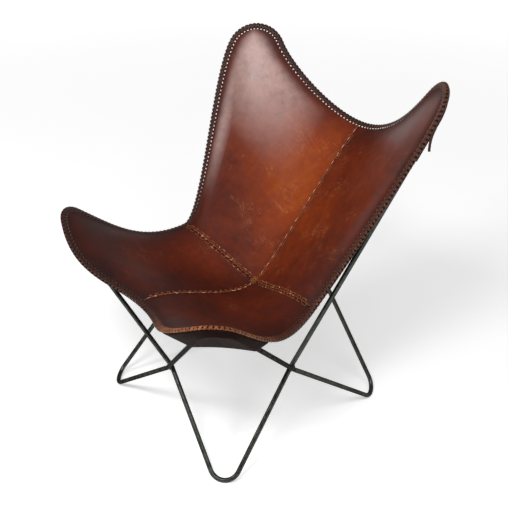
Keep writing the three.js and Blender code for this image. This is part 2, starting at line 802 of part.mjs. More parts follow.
// sideOf gives a point beside the seam: k along it and a share of the first cell away from it.
function seamGeometry(sideOf, otherSideOf) {
  const cell = sideOf(0, 0).place.distanceTo(sideOf(1, 0).place);
  const lastCell = sideOf(panelSteps - 2, 0).place.distanceTo(sideOf(panelSteps - 1, 0).place);
  const start = (rosetteRadius + gap) / cell;
  const whole = Array.from({ length: panelSteps - 2 }, (_, k) => k + 1);
  const stops = [start, ...whole, panelSteps - 1 - gap / lastCell];
  const rows = stops.map((k) => {
    const away = seamLaceHalfWidth / sideOf(k, 0).place.distanceTo(sideOf(k, 1).place);
    return [sideOf(k, away), halfway(sideOf(k, 0), otherSideOf(k, 0)), otherSideOf(k, away)];
  });
  const points = rows.flat();
  return thickened(
    points.map((p) => p.place), points.map((p) => p.normal), gridFaces(rows.length, rows[0].length),
    halfLeather + gap, halfLeather + gap + seamLaceThickness,
  );
}

const besideRear = (k, away) => onPanel(rear, away, k);
const besideFront = (k, away) => onPanel(front, away, k);
const acrossRear = (k, away) => mirroredPoint(besideRear(k, away));
const acrossFront = (k, away) => mirroredPoint(besideFront(k, away));
addPart('seam_lace_back', seamGeometry(besideRear, acrossRear), seamThong);
addPart('seam_lace_front', seamGeometry(besideFront, acrossFront), seamThong);
const behindSide = (k, away) => onPanel(rear, k, away);
const beforeSide = (k, away) => onPanel(front, k, away);
addPair('seam_lace', seamGeometry(behindSide, beforeSide), seamThong);

// Rosette: a sewn disc over the point where the four panels meet.

function rosetteGeometry() {
  const quarter = (panel, flip, start) => Array.from({ length: rosetteSteps }, (_, k) => {
    const turn = (Math.PI / 2) * ((k + start) / rosetteSteps);
    const cellI = panel.grid[0][0].distanceTo(panel.grid[1][0]);
    const cellJ = panel.grid[0][0].distanceTo(panel.grid[0][1]);
    const alongI = (rosetteRadius * Math.cos(turn)) / cellI;
    const alongJ = (rosetteRadius * Math.sin(turn)) / cellJ;
    const spot = onPanel(panel, alongI, alongJ);
    return flip ? mirroredPoint(spot) : spot;
  });
  const ring = [
    ...quarter(rear, false, 0),
    ...quarter(rear, true, 1).reverse(),
    ...quarter(front, true, 0),
    ...quarter(front, false, 1).reverse(),
  ];
  const middle = halfway(
    halfway(onPanel(rear, 0, 0), mirroredPoint(onPanel(rear, 0, 0))),
    halfway(onPanel(front, 0, 0), mirroredPoint(onPanel(front, 0, 0))),
  );
  const spots = [...ring, middle];
  const faces = ring.map((_, k) => [k, (k + 1) % ring.length, ring.length]);
  const low = halfLeather + gap;
  return thickened(spots.map((p) => p.place), spots.map((p) => p.normal), faces, low, low + rosetteRise);
}

addPart('seat_rosette', rosetteGeometry(), seamThong);

// The thong's loose end: it leaves the lacing of the left rear tip and hangs away behind the pocket.

const tailShares = Array.from({ length: tailSteps + 1 }, (_, k) => k / tailSteps);
const tailOutline = [[1, 1], [-1, 1], [-1, -1], [1, -1]].map(([x, y]) => new THREE.Vector2(x, y));
const legTop = rearHornStations[rearHornStations.length - 1 - pocketLegSteps];
const tailSections = tailShares.map((share) => {
  const place = along(legTop.place, legTop.tangent, tailStartLength + share * tailLength);
  const { edge } = rimBeside(rearRim, { ...legTop, place });
  const lean = tailLean * share ** 2;
  const middle = along(edge, legTop.away, laceBack + 2 * gap + tailThickness / 2)
    .addScaledVector(rearHorn.face, -tailWidth / 2 - lean);
  return tailOutline.map(({ x, y }) => (
    along(middle, legTop.away, (x * tailThickness) / 2).addScaledVector(rearHorn.face, (y * tailWidth) / 2)
  ));
});
addPart('lace_tail', lofted(tailSections, tailOutline, () => true), lace);

// The origin is the middle of the floor under the chair's outer box.

const outerBox = new THREE.Box3().setFromObject(chair);
const middle = outerBox.getCenter(point(0, 0, 0));
for (const mesh of chair.children) {
  mesh.geometry.translate(-middle.x, -middle.y, -outerBox.min.z);
}

export default chair;
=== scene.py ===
# %% [markdown]
# # A leather butterfly chair
# Four hides are laced into one sling, which hangs by its corner pockets on two bent iron rods. This lesson
# dresses the solid model of that chair. It is loaded first, since every finished piece stands for some of
# its parts.

import bmesh
import bpy
import numpy as np
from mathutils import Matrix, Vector


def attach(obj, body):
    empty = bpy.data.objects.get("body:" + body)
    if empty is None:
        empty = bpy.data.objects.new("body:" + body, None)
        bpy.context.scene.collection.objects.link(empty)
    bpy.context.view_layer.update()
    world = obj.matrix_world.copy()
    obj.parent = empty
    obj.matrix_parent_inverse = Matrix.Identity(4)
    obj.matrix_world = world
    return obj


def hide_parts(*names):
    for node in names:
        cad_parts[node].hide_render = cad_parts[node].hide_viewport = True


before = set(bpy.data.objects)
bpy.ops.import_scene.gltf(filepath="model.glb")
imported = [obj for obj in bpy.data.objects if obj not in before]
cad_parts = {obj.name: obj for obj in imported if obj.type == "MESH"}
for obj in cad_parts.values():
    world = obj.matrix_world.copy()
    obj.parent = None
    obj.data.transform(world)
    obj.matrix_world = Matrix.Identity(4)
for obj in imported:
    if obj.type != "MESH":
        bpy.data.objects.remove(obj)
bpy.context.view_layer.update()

# %% [markdown]
# ## From points to a finished piece
# Rods, hides and thongs are all grids of points, noted in a chair maker's millimetres. Curve objects with a
# bevel could make some of them, but plain meshes need no conversion and can carry a number at each point,
# such as how worn a hide is there. box_middle moves the drawing's zero to the middle of the floor. Objects
# stay at the origin, so that patterns on Object coordinates don't slide.

# %% Grid faces
mm = 0.001
box_middle = np.array([2.158, 17.727, 0.0])


def grid_faces(rows, columns, round_rows=False, round_columns=False):
    """Faces of a grid: each joins a point, its neighbour down, the one diagonal and the one across."""
    i = np.arange(rows if round_rows else rows - 1)[:, None]
    j = np.arange(columns if round_columns else columns - 1)[None, :]
    down, over = (i + 1) % rows, (j + 1) % columns
    corners = [i * columns + j, down * columns + j, down * columns + over, i * columns + over]
    return np.stack(np.broadcast_arrays(*corners), -1).reshape(-1, 4)


print("a grid of 3 x 3 points has", len(grid_faces(3, 3)), "faces")

# %% A finished piece
merge_distance = 1e-6


def in_scene(name, data, place=(0, 0, 0), turn=(0, 0, 0)):
    """An object with that mesh, lamp or camera, linked into the scene."""
    holder = bpy.data.objects.new(name, data)
    holder.location, holder.rotation_euler = place, turn
    bpy.context.scene.collection.objects.link(holder)
    return holder


def make_piece(name, points, faces, material, stands_for, slot, flip=False, merge=True, **values):
    """A piece from points in millimetres, kept above the floor; values are numbers for its points."""
    metres = (np.asarray(points, float).reshape(-1, 3) - box_middle) * mm
    metres[:, 2] = np.maximum(metres[:, 2], 0.0)
    mesh = bpy.data.meshes.new(name)
    mesh.from_pydata(metres, [], faces[:, ::-1] if flip else faces)
    for label, numbers in values.items():
        numbers = np.broadcast_to(numbers, len(metres)).astype(float)
        mesh.attributes.new(label, "FLOAT", "POINT").data.foreach_set("value", numbers)
    mesh.validate()
    if merge:
        work = bmesh.new()
        work.from_mesh(mesh)
        bmesh.ops.remove_doubles(work, verts=work.verts, dist=merge_distance)
        bmesh.ops.recalc_face_normals(work, faces=work.faces)
        work.to_mesh(mesh)
        work.free()
    mesh.shade_smooth()
    mesh.materials.append(material)
    piece = in_scene(name, mesh)
    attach(piece, "root")
    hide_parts(*stands_for)
    print(name, len(mesh.polygons), "faces")
    return piece


# %% [markdown]
# ## Nodes for leather and iron
# Painted pictures could colour the chair, but each piece would need a mapping of its own. Noise made by
# nodes needs none: it fills space, and every surface cuts through it. Ramps turn its grey fog into dyes,
# blotches and thin lines, sums lay one over another, and bump nodes raise the grain, which is too fine for
# geometry.

# %% Noise and attributes
def put(tree, socket, value):
    """A value from another node is linked into the socket, and a number or colour is set there."""
    if isinstance(value, bpy.types.NodeSocket):
        tree.links.new(value, socket)
    else:
        socket.default_value = (*value, 1) if socket.type == "RGBA" else value


def feed(tree, node, **inputs):
    """The node with values put into its inputs; _ in a name stands for a space."""
    for name, value in inputs.items():
        put(tree, node.inputs[name.replace("_", " ")], value)
    return node


def add(tree, kind, **inputs):
    """A new node of a kind, fed with inputs."""
    return feed(tree, tree.nodes.new("ShaderNode" + kind), **inputs)


def new_material(name):
    """A material with its node tree, shader and Object coordinates."""
    material = bpy.data.materials.new(name)
    material.use_nodes = True
    tree = material.node_tree
    return material, tree, tree.nodes["Principled BSDF"], add(tree, "TexCoord").outputs["Object"]


def noise(tree, place, scale, detail=4.0, roughness=0.55, stretch=(1, 1, 1), turn=(0, 0, 0)):
    """Noise between 0 and 1, with scale in cycles a metre, stretched along axes of its own."""
    turned = add(tree, "Mapping", Vector=place, Scale=stretch, Rotation=turn).outputs["Vector"]
    node = add(tree, "TexNoise", Vector=turned, Scale=scale, Detail=detail, Roughness=roughness)
    return node.outputs["Fac"]


def attribute(tree, name):
    """A number carried by each point of the mesh."""
    node = add(tree, "Attribute")
    node.attribute_name = name
    return node.outputs["Fac"]


print("helpers: nodes, noise and attributes")

# %% Ramps, sums, mixes and relief
def ramp(tree, value, stops):
    """A colour looked up from a value; stops are (position, colour), with straight blends between."""
    node = add(tree, "ValToRGB", Fac=value)
    elements = node.color_ramp.elements
    while len(elements) < len(stops):
        elements.new(0.5)
    for element, (position, colour) in zip(elements, stops):
        element.position, element.color = position, (*colour, 1)
    return node.outputs["Color"]


def between(tree, value, low, high, start=0.3, end=0.7):
    """A grey that goes from low to high while the value goes from start to end."""
    return ramp(tree, value, [(start, (low,) * 3), (end, (high,) * 3)])


def thin_band(tree, value, half_width):
    """A line through noise: white where the value is 0.5, black from half_width away."""
    black, white = (0, 0, 0), (1, 1, 1)
    return ramp(tree, value, [(0.5 - half_width, black), (0.5, white), (0.5 + half_width, black)])


def calculate(tree, operation, *values):
    """Arithmetic on values or numbers."""
    node = add(tree, "Math")
    node.operation = operation
    for socket, value in zip(node.inputs, values):
        put(tree, socket, value)
    return node.outputs["Value"]


def held(tree, value):
    """A value kept between 0 and 1."""
    return calculate(tree, "MINIMUM", calculate(tree, "MAXIMUM", value, 0.0), 1.0)


def mix(tree, factor, a, b):
    """Two colours mixed: a at factor 0, b at factor 1."""
    node = add(tree, "Mix")
    node.data_type = "RGBA"
    return feed(tree, node, Factor=factor, A=a, B=b).outputs["Result"]


def relief(tree, *layers):
    """Bump layers, each (height, strength, depth in metres), one upon another."""
    normal = {}
    for height, strength, depth in layers:
        bump = add(tree, "Bump", Height=height, Strength=strength, Distance=depth, **normal)
        normal = {"Normal": bump.outputs["Normal"]}
    return bump.outputs["Normal"]


print("helpers: ramps, sums, mixes and relief")

# %% [markdown]
# ## Waxed chestnut hide
# The sling is thick hide, dyed by hand, waxed and sat on for years. It is nearly black at the rims, amber in
# the back and glossy on the high wing, where a painted highlight also pales it. One noise would look alike
# everywhere. So each point carries its own tone, polish and painted highlight, and the nodes add what is
# random: blotches, mottling and fine scratches.

# %% Chestnut hide
hide_dye = [
    (0.0, (0.020, 0.006, 0.005)), (0.2, (0.050, 0.007, 0.003)), (0.4, (0.095, 0.010, 0.001)),
    (0.6, (0.170, 0.021, 0.001)), (0.8, (0.258, 0.036, 0.001)), (1.0, (0.350, 0.068, 0.002)),
]
# The second colour is a painted highlight: the pinkish white that the high wing is mixed towards.
scratch_colour, painted_sheen_colour = (0.52, 0.20, 0.08), (0.64, 0.43, 0.39)
blotch_depth, mottle_depth, scratch_cover, least_painted_sheen = 0.55, 0.35, 0.35, 0.25


def shaded(tree, tone, value, depth):
    """The tone plus depth times the value's distance from its middle, 0.5."""
    return calculate(tree, "MULTIPLY_ADD", calculate(tree, "SUBTRACT", value, 0.5), depth, tone)


def scratches(tree, place, tone):
    """Two sets of long noise cut to thin bands, kept only in patches and where the tone isn't dark."""
    one_way = noise(tree, place, 5, 2, 0.5, (1, 22, 4), (0.4, 0.9, 0.5))
    other_way = noise(tree, place, 6, 2, 0.5, (22, 1, 4), (1.1, 0.2, 1.3))
    lines = calculate(tree, "MAXIMUM", thin_band(tree, one_way, 0.020), thin_band(tree, other_way, 0.015))
    patches = between(tree, noise(tree, place, 13, 4, 0.7), 0, 1, 0.53, 0.60)
    lines = calculate(tree, "MULTIPLY", lines, patches)
    return calculate(tree, "MULTIPLY", lines, between(tree, tone, 0.1, 1, 0.2, 0.6))


def chestnut_hide():
    """Dye by tone, then scratches, then a painted highlight that pales it; gloss goes from dull to polished
    by polish.
    """
    material, tree, shader, place = new_material("chestnut_hide")
    blotch = noise(tree, place, 9, 5, 0.6)
    mottle = noise(tree, place, 45, 6, 0.65)
    tone = shaded(tree, attribute(tree, "tone"), blotch, blotch_depth)
    tone = shaded(tree, tone, mottle, mottle_depth)
    lines = scratches(tree, place, tone)
    colour = ramp(tree, tone, hide_dye)
    colour = mix(tree, calculate(tree, "MULTIPLY", lines, scratch_cover), colour, scratch_colour)
    # Painted highlight: a share from the points, varied by mottling, pales the colour towards a pinkish
    # white.
    painted_sheen_amount = calculate(tree, "ADD", mottle, least_painted_sheen)
    painted_sheen_amount = calculate(tree, "MULTIPLY", attribute(tree, "bloom"), painted_sheen_amount)
    colour = mix(tree, painted_sheen_amount, colour, painted_sheen_colour)
    dull = between(tree, noise(tree, place, 22, 5, 0.6), 0.62, 0.72)
    polished = between(tree, mottle, 0.26, 0.38, 0.35, 0.65)
    gloss = mix(tree, attribute(tree, "polish"), dull, polished)
    crease, grain = noise(tree, place, 130, 5, 0.7), noise(tree, place, 900, 3, 0.6)
    bumps = relief(tree, (crease, 0.25, 0.0010), (grain, 0.2, 0.0003), (lines, 0.3, 0.0003))
    feed(tree, shader, Base_Color=colour, Roughness=gloss, Specular_IOR_Level=0.22, Normal=bumps)
    return material


chestnut = chestnut_hide()
print(chestnut.name, "has", len(chestnut.node_tree.nodes), "nodes")

# %% [markdown]
# ## Dark leather
# Pockets, lacing and seams are cut from one kind of leather and differ in dye, rub and painted glints, so one
# function makes all three. The lacing is rubbed to copper by hands and knees, and its humps are painted pale
# as glints, most on the high back. Rub and glints sit on certain stitches, not at random in space, so
# attributes carry them.

# %% Pocket hide, lacing and seam thong
# The second and third colours are painted glints: pale on the lacing, bright copper on the seams.
copper, painted_glint_colour, painted_glint_copper = (0.40, 0.125, 0.036), (0.90, 0.84, 0.80), (0.86, 0.44, 0.26)


def dark_leather(name, low, high, rough, scale, specular, painted_highlight=painted_glint_colour):
    """Two colours mixed by mottling, rubbed to copper by the rub attribute, and painted with glints of the
    last colour.
    """
    material, tree, shader, place = new_material(name)
    mottle = noise(tree, place, scale, 5, 0.6)
    colour = mix(tree, mottle, low, high)
    colour = mix(tree, attribute(tree, "rub"), colour, copper)
    # Painted glints: a share from the points mixes in the glint colour.
    colour = mix(tree, attribute(tree, "wear"), colour, painted_highlight)
    gloss = between(tree, noise(tree, place, 150, 3), rough - 0.07, rough + 0.1)
    bumps = relief(tree, (noise(tree, place, 700, 3), 0.3, 0.0004), (mottle, 0.2, 0.0008))
    feed(tree, shader, Base_Color=colour, Roughness=gloss, Specular_IOR_Level=specular, Normal=bumps)
    return material


pocket_hide = dark_leather("pocket_hide", (0.006, 0.003, 0.0025), (0.020, 0.007, 0.004), 0.75, 60, 0.06)
lacing_hide = dark_leather("lacing_hide", (0.008, 0.004, 0.004), (0.060, 0.018, 0.012), 0.42, 90, 0.25)
seam_thong = dark_leather(
    "seam_thong", (0.085, 0.020, 0.006), (0.400, 0.130, 0.045), 0.5, 160, 0.15, painted_glint_copper,
)
print("dark leathers:", pocket_hide.name, lacing_hide.name, seam_thong.name)

# %% [markdown]
# ## Black iron
# The rods are hot-rolled bar with their black skin left on and waxed. Paint would hide the metal, so it is
# dark metal with a grey-green cast. A low edge tint keeps the white floor from greying it at a slant.

# %% Waxed rod
edge_tint = (0.2, 0.2, 0.2)


def black_iron():
    """Metal whose darkness follows slow noise and whose gloss follows faster noise."""
    material, tree, shader, place = new_material("black_iron")
    scale_marks = noise(tree, place, 60, 6, 0.7)
    colour = ramp(tree, scale_marks, [(0.3, (0.028, 0.031, 0.027)), (0.7, (0.090, 0.097, 0.085))])
    gloss = between(tree, noise(tree, place, 120, 5, 0.7), 0.24, 0.40)
    bumps = relief(tree, (noise(tree, place, 400, 4), 0.12, 0.0002))
    feed(tree, shader, Base_Color=colour, Roughness=gloss, Normal=bumps,
         Metallic=0.9, Specular_Tint=edge_tint)
    return material


iron = black_iron()
print("materials:", len(bpy.data.materials))

# %% [markdown]
# ## Bends of the rods
# A rod is bent cold over a former, so each bend is an arc between straight legs. A curve with handles only
# comes near to an arc. Here a bend is worked out as the bender sets it out, from its centre, its radius
# and the two points that its legs run to.

# %% Bends
rod_radius, gap = 6.0, 0.3
foot_bend, foot_wear = 39.0, 0.5


def unit(v):
    """Vectors of length one."""
    return v / np.linalg.norm(v, axis=-1, keepdims=True)


def bend_of(centre, radius, leg_a, leg_b):
    """A bend whose legs leave it as tangents towards two points: its corner, apex direction and face."""
    centre = np.asarray(centre, float)
    normal = unit(np.cross(leg_a - centre, leg_b - centre))

    def spoke(leg, side):
        """From the centre to the tangent point: cosine radius / distance, turned to the given side."""
        away = leg - centre
        share = radius / np.linalg.norm(away)
        along_leg = unit(away)
        return share * along_leg + side * np.sqrt(1 - share**2) * np.cross(normal, along_leg)

    spoke_a, spoke_b = spoke(leg_a, -1), spoke(leg_b, 1)
    apex = unit(spoke_a + spoke_b)
    face = normal if normal[2] > 0 else -normal
    return {"centre": centre, "radius": radius, "apex": apex, "face": face, "spoke_a": spoke_a,
            "corner": centre + apex * radius / (apex @ spoke_a), "legs": (leg_a, leg_b)}


def foot_of(x, y, leg_a, leg_b):
    """A foot's bend: its lowest point is given, and its centre is straight up the legs' plane."""
    lowest = np.array([x, y, rod_radius - foot_wear])
    normal = unit(np.cross(leg_a - lowest, leg_b - lowest))
    climb = unit(np.array([0, 0, 1.0]) - normal[2] * normal)
    return bend_of(lowest + climb * foot_bend, foot_bend, leg_a, leg_b)


def rounded(before, corner, after, radius, steps):
    """The arc round a corner: its centre lies inwards by radius / sine of half the angle."""
    a, b = unit(before - corner), unit(after - corner)
    half = np.arccos(a @ b) / 2
    inward = unit(a + b)
    turn = np.linspace(half - np.pi / 2, np.pi / 2 - half, steps + 1)[:, None]
    reach = radius / np.sin(half)
    return corner + inward * reach + radius * (np.sin(turn) * unit(b - a) - np.cos(turn) * inward)


print("a foot is bent to a radius of", foot_bend, "mm and worn flat by", foot_wear, "mm")

# %% [markdown]
# ## The round of a rod
# Two rods make the whole frame. Each is one closed loop of eight corners: foot, crossing, horn, crossing,
# and the same again. At a crossing one rod passes inside the other. The feet stand on the floor, and the
# horns carry the sling.

# %% Corners and centre lines
crossings = {
    "front": (0, -240, 194), "left": (236, -32, 234), "rear": (0, 243, 341), "right": (-236, -32, 234),
}
outward = {"front": (0, -1, 0), "left": (1, 0, 0), "rear": (0, 1, 0), "right": (-1, 0, 0)}
horn_centres = {"front": (301, -302, 492), "rear": (302, 293, 832)}
horn_bends = {"front": 40.0, "rear": 56.0}
feet = {"front": (246, -262), "rear": (246, 262)}
crossing_bend = 24.0
rods = {
    "inner": (-1, ["foot front_left", "left", "horn rear_left", "rear",
                   "foot rear_right", "right", "horn front_right", "front"]),
    "outer": (1, ["foot front_right", "front", "horn front_left", "left",
                  "foot rear_left", "rear", "horn rear_right", "right"]),
}
horns = {}


def crossing(name, side):
    """A rod's corner at a crossing: a radius and the gap inwards for side -1, outwards for side 1."""
    return np.array(crossings[name], float) + side * (rod_radius + gap) * np.array(outward[name])


def rod_path(side, stops, steps=22):
    """One closed centre line: the arcs of its corners, one after another."""
    corners = []
    for k, stop in enumerate(stops):
        kind, _, place = stop.partition(" ")
        if not place:
            corners.append((crossing(kind, side), crossing_bend))
            continue
        legs = crossing(stops[k - 1], side), crossing(stops[(k + 1) % len(stops)], side)
        end, flank = place.split("_")
        if kind == "horn":
            x, *rest = horn_centres[end]
            bend = horns[place] = bend_of((x if flank == "left" else -x, *rest), horn_bends[end], *legs)
        else:
            x, y = feet[end]
            bend = foot_of(x if flank == "left" else -x, y, *legs)
        corners.append((bend["corner"], bend["radius"]))
    following = corners[1:] + corners[:1]
    return np.concatenate([
        rounded(before, corner, after, radius, steps)
        for (before, _), (corner, radius), (after, _) in zip(corners[-1:] + corners[:-1], corners, following)
    ])


paths = {name: rod_path(side, stops) for name, (side, stops) in rods.items()}
print("rods:", {name: len(path) for name, path in paths.items()}, "points round; horns:", sorted(horns))

# %% [markdown]
# ## Iron round the path
# A curve's bevel could make the skin of the rod. Carrying a circle along the path in numpy can't twist it,
# because one axis of the circle always stays level.

# %% Make the rods
def round_turn(count):
    """Angles evenly round a circle."""
    return np.linspace(0, 2 * np.pi, count, endpoint=False)


def swept_ring(path, radius, sides=24):
    """A circle at each point of a closed path: cosine along the level axis, sine along the rising one."""
    tangent = unit(np.roll(path, -1, 0) - np.roll(path, 1, 0))
    level = unit(np.cross(tangent, [0, 0, 1.0]))
    rise = np.cross(level, tangent)
    angle = round_turn(sides)[None, :, None]
    return path[:, None] + radius * (np.cos(angle) * level[:, None] + np.sin(angle) * rise[:, None])


for name, (side, stops) in rods.items():
    skin = swept_ring(paths[name], rod_radius)
    nodes = ["{}_rod_{}".format(*stop.split()) for stop in stops if " " in stop]
    make_piece(f"iron_rod_{name}", skin, grid_faces(*skin.shape[:2], True, True), iron, nodes,
               "frame_iron")

# %% [markdown]
# ## Weld beads
# Where the rods touch, a welder has run a bead round the contact. A smooth ring would look cast, so its
# thickness swells in two ripples that don't keep time with each other.

# %% Make the weld beads
bead_reach, bead_thickness, bead_flatness = 5.6, 3.4, 0.9
bead_steps, bead_sides = 48, 16


def weld_bead(centre, normal):
    """A ring in the plane between the rods: reach plus a swelling thickness round a circle."""
    normal = np.asarray(normal, float)
    level = unit(np.cross(normal, [0, 0, 1.0]))
    rise = np.cross(normal, level)
    u, v = round_turn(bead_steps)[:, None, None], round_turn(bead_sides)[None, :, None]
    swell = bead_thickness * (1 + 0.12 * np.sin(9 * u) + 0.08 * np.sin(5 * u + 2))
    radial = np.cos(u) * level + np.sin(u) * rise
    return centre + radial * (bead_reach + swell * np.cos(v)) + normal * swell * bead_flatness * np.sin(v)


bead_faces = grid_faces(bead_steps, bead_sides, True, True)
for name, centre in crossings.items():
    bead = weld_bead(np.array(centre, float), outward[name])
    make_piece(f"weld_bead_{name}", bead, bead_faces, iron, [f"weld_{name}"], "weld_iron")

# %% [markdown]
# ## Curves for the sling
# One knows this chair by the outline of its sling, so that is drawn first, as cubic curves, which bend the
# way a taut edge does. Places on them go by share of length, so that lacing holes come out evenly.

# %% Cubic curves
def bezier(a, b, c, d, steps=400):
    """A cubic curve from a to d, pulled towards b and c: the cubic terms of 1 - t and t as weights."""
    t = np.linspace(0, 1, steps)[:, None]
    a, b, c, d = (np.asarray(p, float) for p in (a, b, c, d))
    return (1 - t)**3 * a + 3 * (1 - t)**2 * t * b + 3 * (1 - t) * t**2 * c + t**3 * d


def at(curve, share, values=None):
    """The curve's points, or other values kept for each of them, at shares of the curve's length."""
    values = curve if values is None else values
    length = np.concatenate([[0], np.cumsum(np.linalg.norm(np.diff(curve, axis=0), axis=1))])
    return np.stack([np.interp(share, length / length[-1], values[:, k]) for k in range(3)], -1)


def length_of(curve):
    """A curve's length: the sum of its steps."""
    return np.linalg.norm(np.diff(curve, axis=0), axis=1).sum()


def slope(degrees, sign=1):
    """A heading along the chair's middle, climbing by degrees; sign -1 goes forwards."""
    return np.array([0, sign * np.cos(np.radians(degrees)), np.sin(np.radians(degrees))])


print("a heading 10 degrees up:", slope(10).round(3))

# %% [markdown]
# ## Tips over the horns
# At each horn the sling is cut as a round tip, a little wider than the bend that fills its pocket. An arc
# about the bend's own centre gives it, moved aside a few millimetres to where the sling pulls.

# %% Tips and half edges
hide = 3.6
seat_lift = rod_radius + gap + hide / 2


def sling_tip(horn, margin, offset, turn_a, turn_b):
    """Two arcs from the tip's middle to its ends, of the bend's radius plus a margin, and their headings."""
    side = unit(horn["spoke_a"] - (horn["spoke_a"] @ horn["apex"]) * horn["apex"])
    centre = horn["centre"] + horn["face"] * seat_lift + side * offset
    radius = horn["radius"] + margin
    turn_a, turn_b = np.radians(turn_a), np.radians(turn_b)

    def arc(turn):
        """From the given turn to the tip's middle: cosine towards the apex, sine towards the side."""
        turns = np.linspace(turn, 0, 60)[:, None]
        return centre + radius * (np.cos(turns) * horn["apex"] + np.sin(turns) * side)

    heading_a = np.sin(turn_a) * horn["apex"] - np.cos(turn_a) * side
    heading_b = np.sin(turn_b) * horn["apex"] + np.cos(turn_b) * side
    return {"a": (arc(turn_a), heading_a), "b": (arc(-turn_b), heading_b)}


def half_edge(middle, run, middle_handle, tip_end, tip_handle):
    """From the middle of an edge to a tip: a cubic curve with the two handles, then the tip's arc."""
    arc, heading = tip_end
    curve = bezier(middle, middle + run * middle_handle, arc[0] - heading * tip_handle, arc[0])
    return np.concatenate([curve, arc[1:]])


facing_rear = horns["rear_left"]
rear_horn = bend_of(facing_rear["centre"], facing_rear["radius"], *facing_rear["legs"][::-1])
front_tip = sling_tip(horns["front_left"], margin=17, offset=7, turn_a=35, turn_b=58)
rear_tip = sling_tip(rear_horn, margin=22, offset=-6, turn_a=66, turn_b=64)
print("tips, mm round:", [round(length_of(tip[end][0])) for tip in (front_tip, rear_tip) for end in "ab"])

# %% [markdown]
# ## Edges and seams
# The left half of the sling has four half edges and three seams, all seams starting in the middle of the
# seat. The right half mirrors it. The side edge dips for the legs, and the front edge rolls over a little.

# %% Edges and seams of the left half
seat_centre = np.array([0, 40, 344.0])
side_middle = np.array([266, 1, 411.0])
back_middle = np.array([0, 400, 699.0])
front_middle = np.array([0, -314, 420.0])
side_seam_pull = (175, -11, 437)
across = np.array([1.0, 0, 0])
climb, toe_in = np.radians(16), np.radians(17)
side_run = np.array([-np.sin(toe_in) * np.cos(climb), np.cos(toe_in) * np.cos(climb), np.sin(climb)])
seat_slope, back_top_slope, front_roll_slope = 25, 31, -20

edge_side_rear = half_edge(side_middle, side_run, 59, rear_tip["b"], 114)
edge_side_front = half_edge(side_middle, side_run, -133, front_tip["b"], 118)
edge_back = half_edge(back_middle, across, 116, rear_tip["a"], 68)
edge_front = half_edge(front_middle, across, 130, front_tip["a"], 163)
seat_run, back_run, front_run = slope(seat_slope), slope(back_top_slope), slope(front_roll_slope, -1)
seam_back = bezier(seat_centre, seat_centre + 68 * seat_run, back_middle - 105 * back_run, back_middle)
seam_front = bezier(seat_centre, seat_centre - 96 * seat_run, front_middle - 91 * front_run, front_middle)
seam_side = bezier(seat_centre, seat_centre + 66 * across, side_seam_pull, side_middle)
print("edges, mm:", [round(length_of(c)) for c in (edge_side_front, edge_front, edge_side_rear, edge_back)])

# %% [markdown]
# ## A surface between four curves
# Leather held by its borders takes the smoothest shape between them. A cloth simulation finds it slowly,
# and never twice the same. This blend gives it at once: the straight blends between both pairs of borders
# are added, and the blend of the corners, counted twice, is taken away.

# %% The blended surface
def hide_surface(seam_a, seam_b, edge_a, edge_b):
    """A surface in s, along seam_a and edge_b, and t, along seam_b and edge_a."""
    corner, mid_a, mid_b, tip = seam_a[0], seam_a[-1], seam_b[-1], edge_a[-1]

    def surface(s, t):
        """Blend across t, plus blend across s, less the blend of the four corners."""
        s, t = np.broadcast_arrays(np.asarray(s, float), np.asarray(t, float))
        u, v = s[..., None], t[..., None]
        return ((1 - v) * at(seam_a, s) + v * at(edge_b, s) + (1 - u) * at(seam_b, t) + u * at(edge_a, t)
                - (1 - u) * (1 - v) * corner - u * (1 - v) * mid_a - (1 - u) * v * mid_b - u * v * tip)

    return surface


front_surface = hide_surface(seam_side, seam_front, edge_side_front, edge_front)
rear_surface = hide_surface(seam_side, seam_back, edge_side_rear, edge_back)
print("middle of a rear hide, mm:", rear_surface(0.5, 0.5).round())

# %% [markdown]
# ## Waves and puckers
# A hide that carries people has slow waves, and small puckers at the lacing holes. Sculpted by hand they
# couldn't be repeated. A few sines in seeded directions give the waves, and one along the rim the puckers.

# %% Folds of a hide
pitch, pucker_height, wave_height = 11.0, 0.5, 1.6
pucker_place, pucker_width, seam_fade, rim_fade = 16, 9, 25, 30
rim_length, hide_width, hide_length = 400, 300, 340
wave_count, probe = 14, 0.003
rng = np.random.default_rng(7)
wave_vectors = unit(rng.normal(size=(wave_count, 3))) * np.linspace(0.010, 0.034, wave_count)[:, None]
wave_phases = rng.uniform(0, 2 * np.pi, wave_count)


def slow_waves(points):
    """A sum of sines in seeded directions, each lower as it gets shorter."""
    heights = np.sin(points @ wave_vectors.T + wave_phases) / np.linspace(1, 4, wave_count)
    return heights.sum(-1) / 3


def hump(x, centre, width):
    """A bell curve of height one: e to the minus square of the distance in widths."""
    return np.exp(-((x - centre) / width)**2)


def ramp_up(x, start, width):
    """From 0 at start evenly up to 1 at start plus width."""
    return np.clip((x - start) / width, 0, 1)


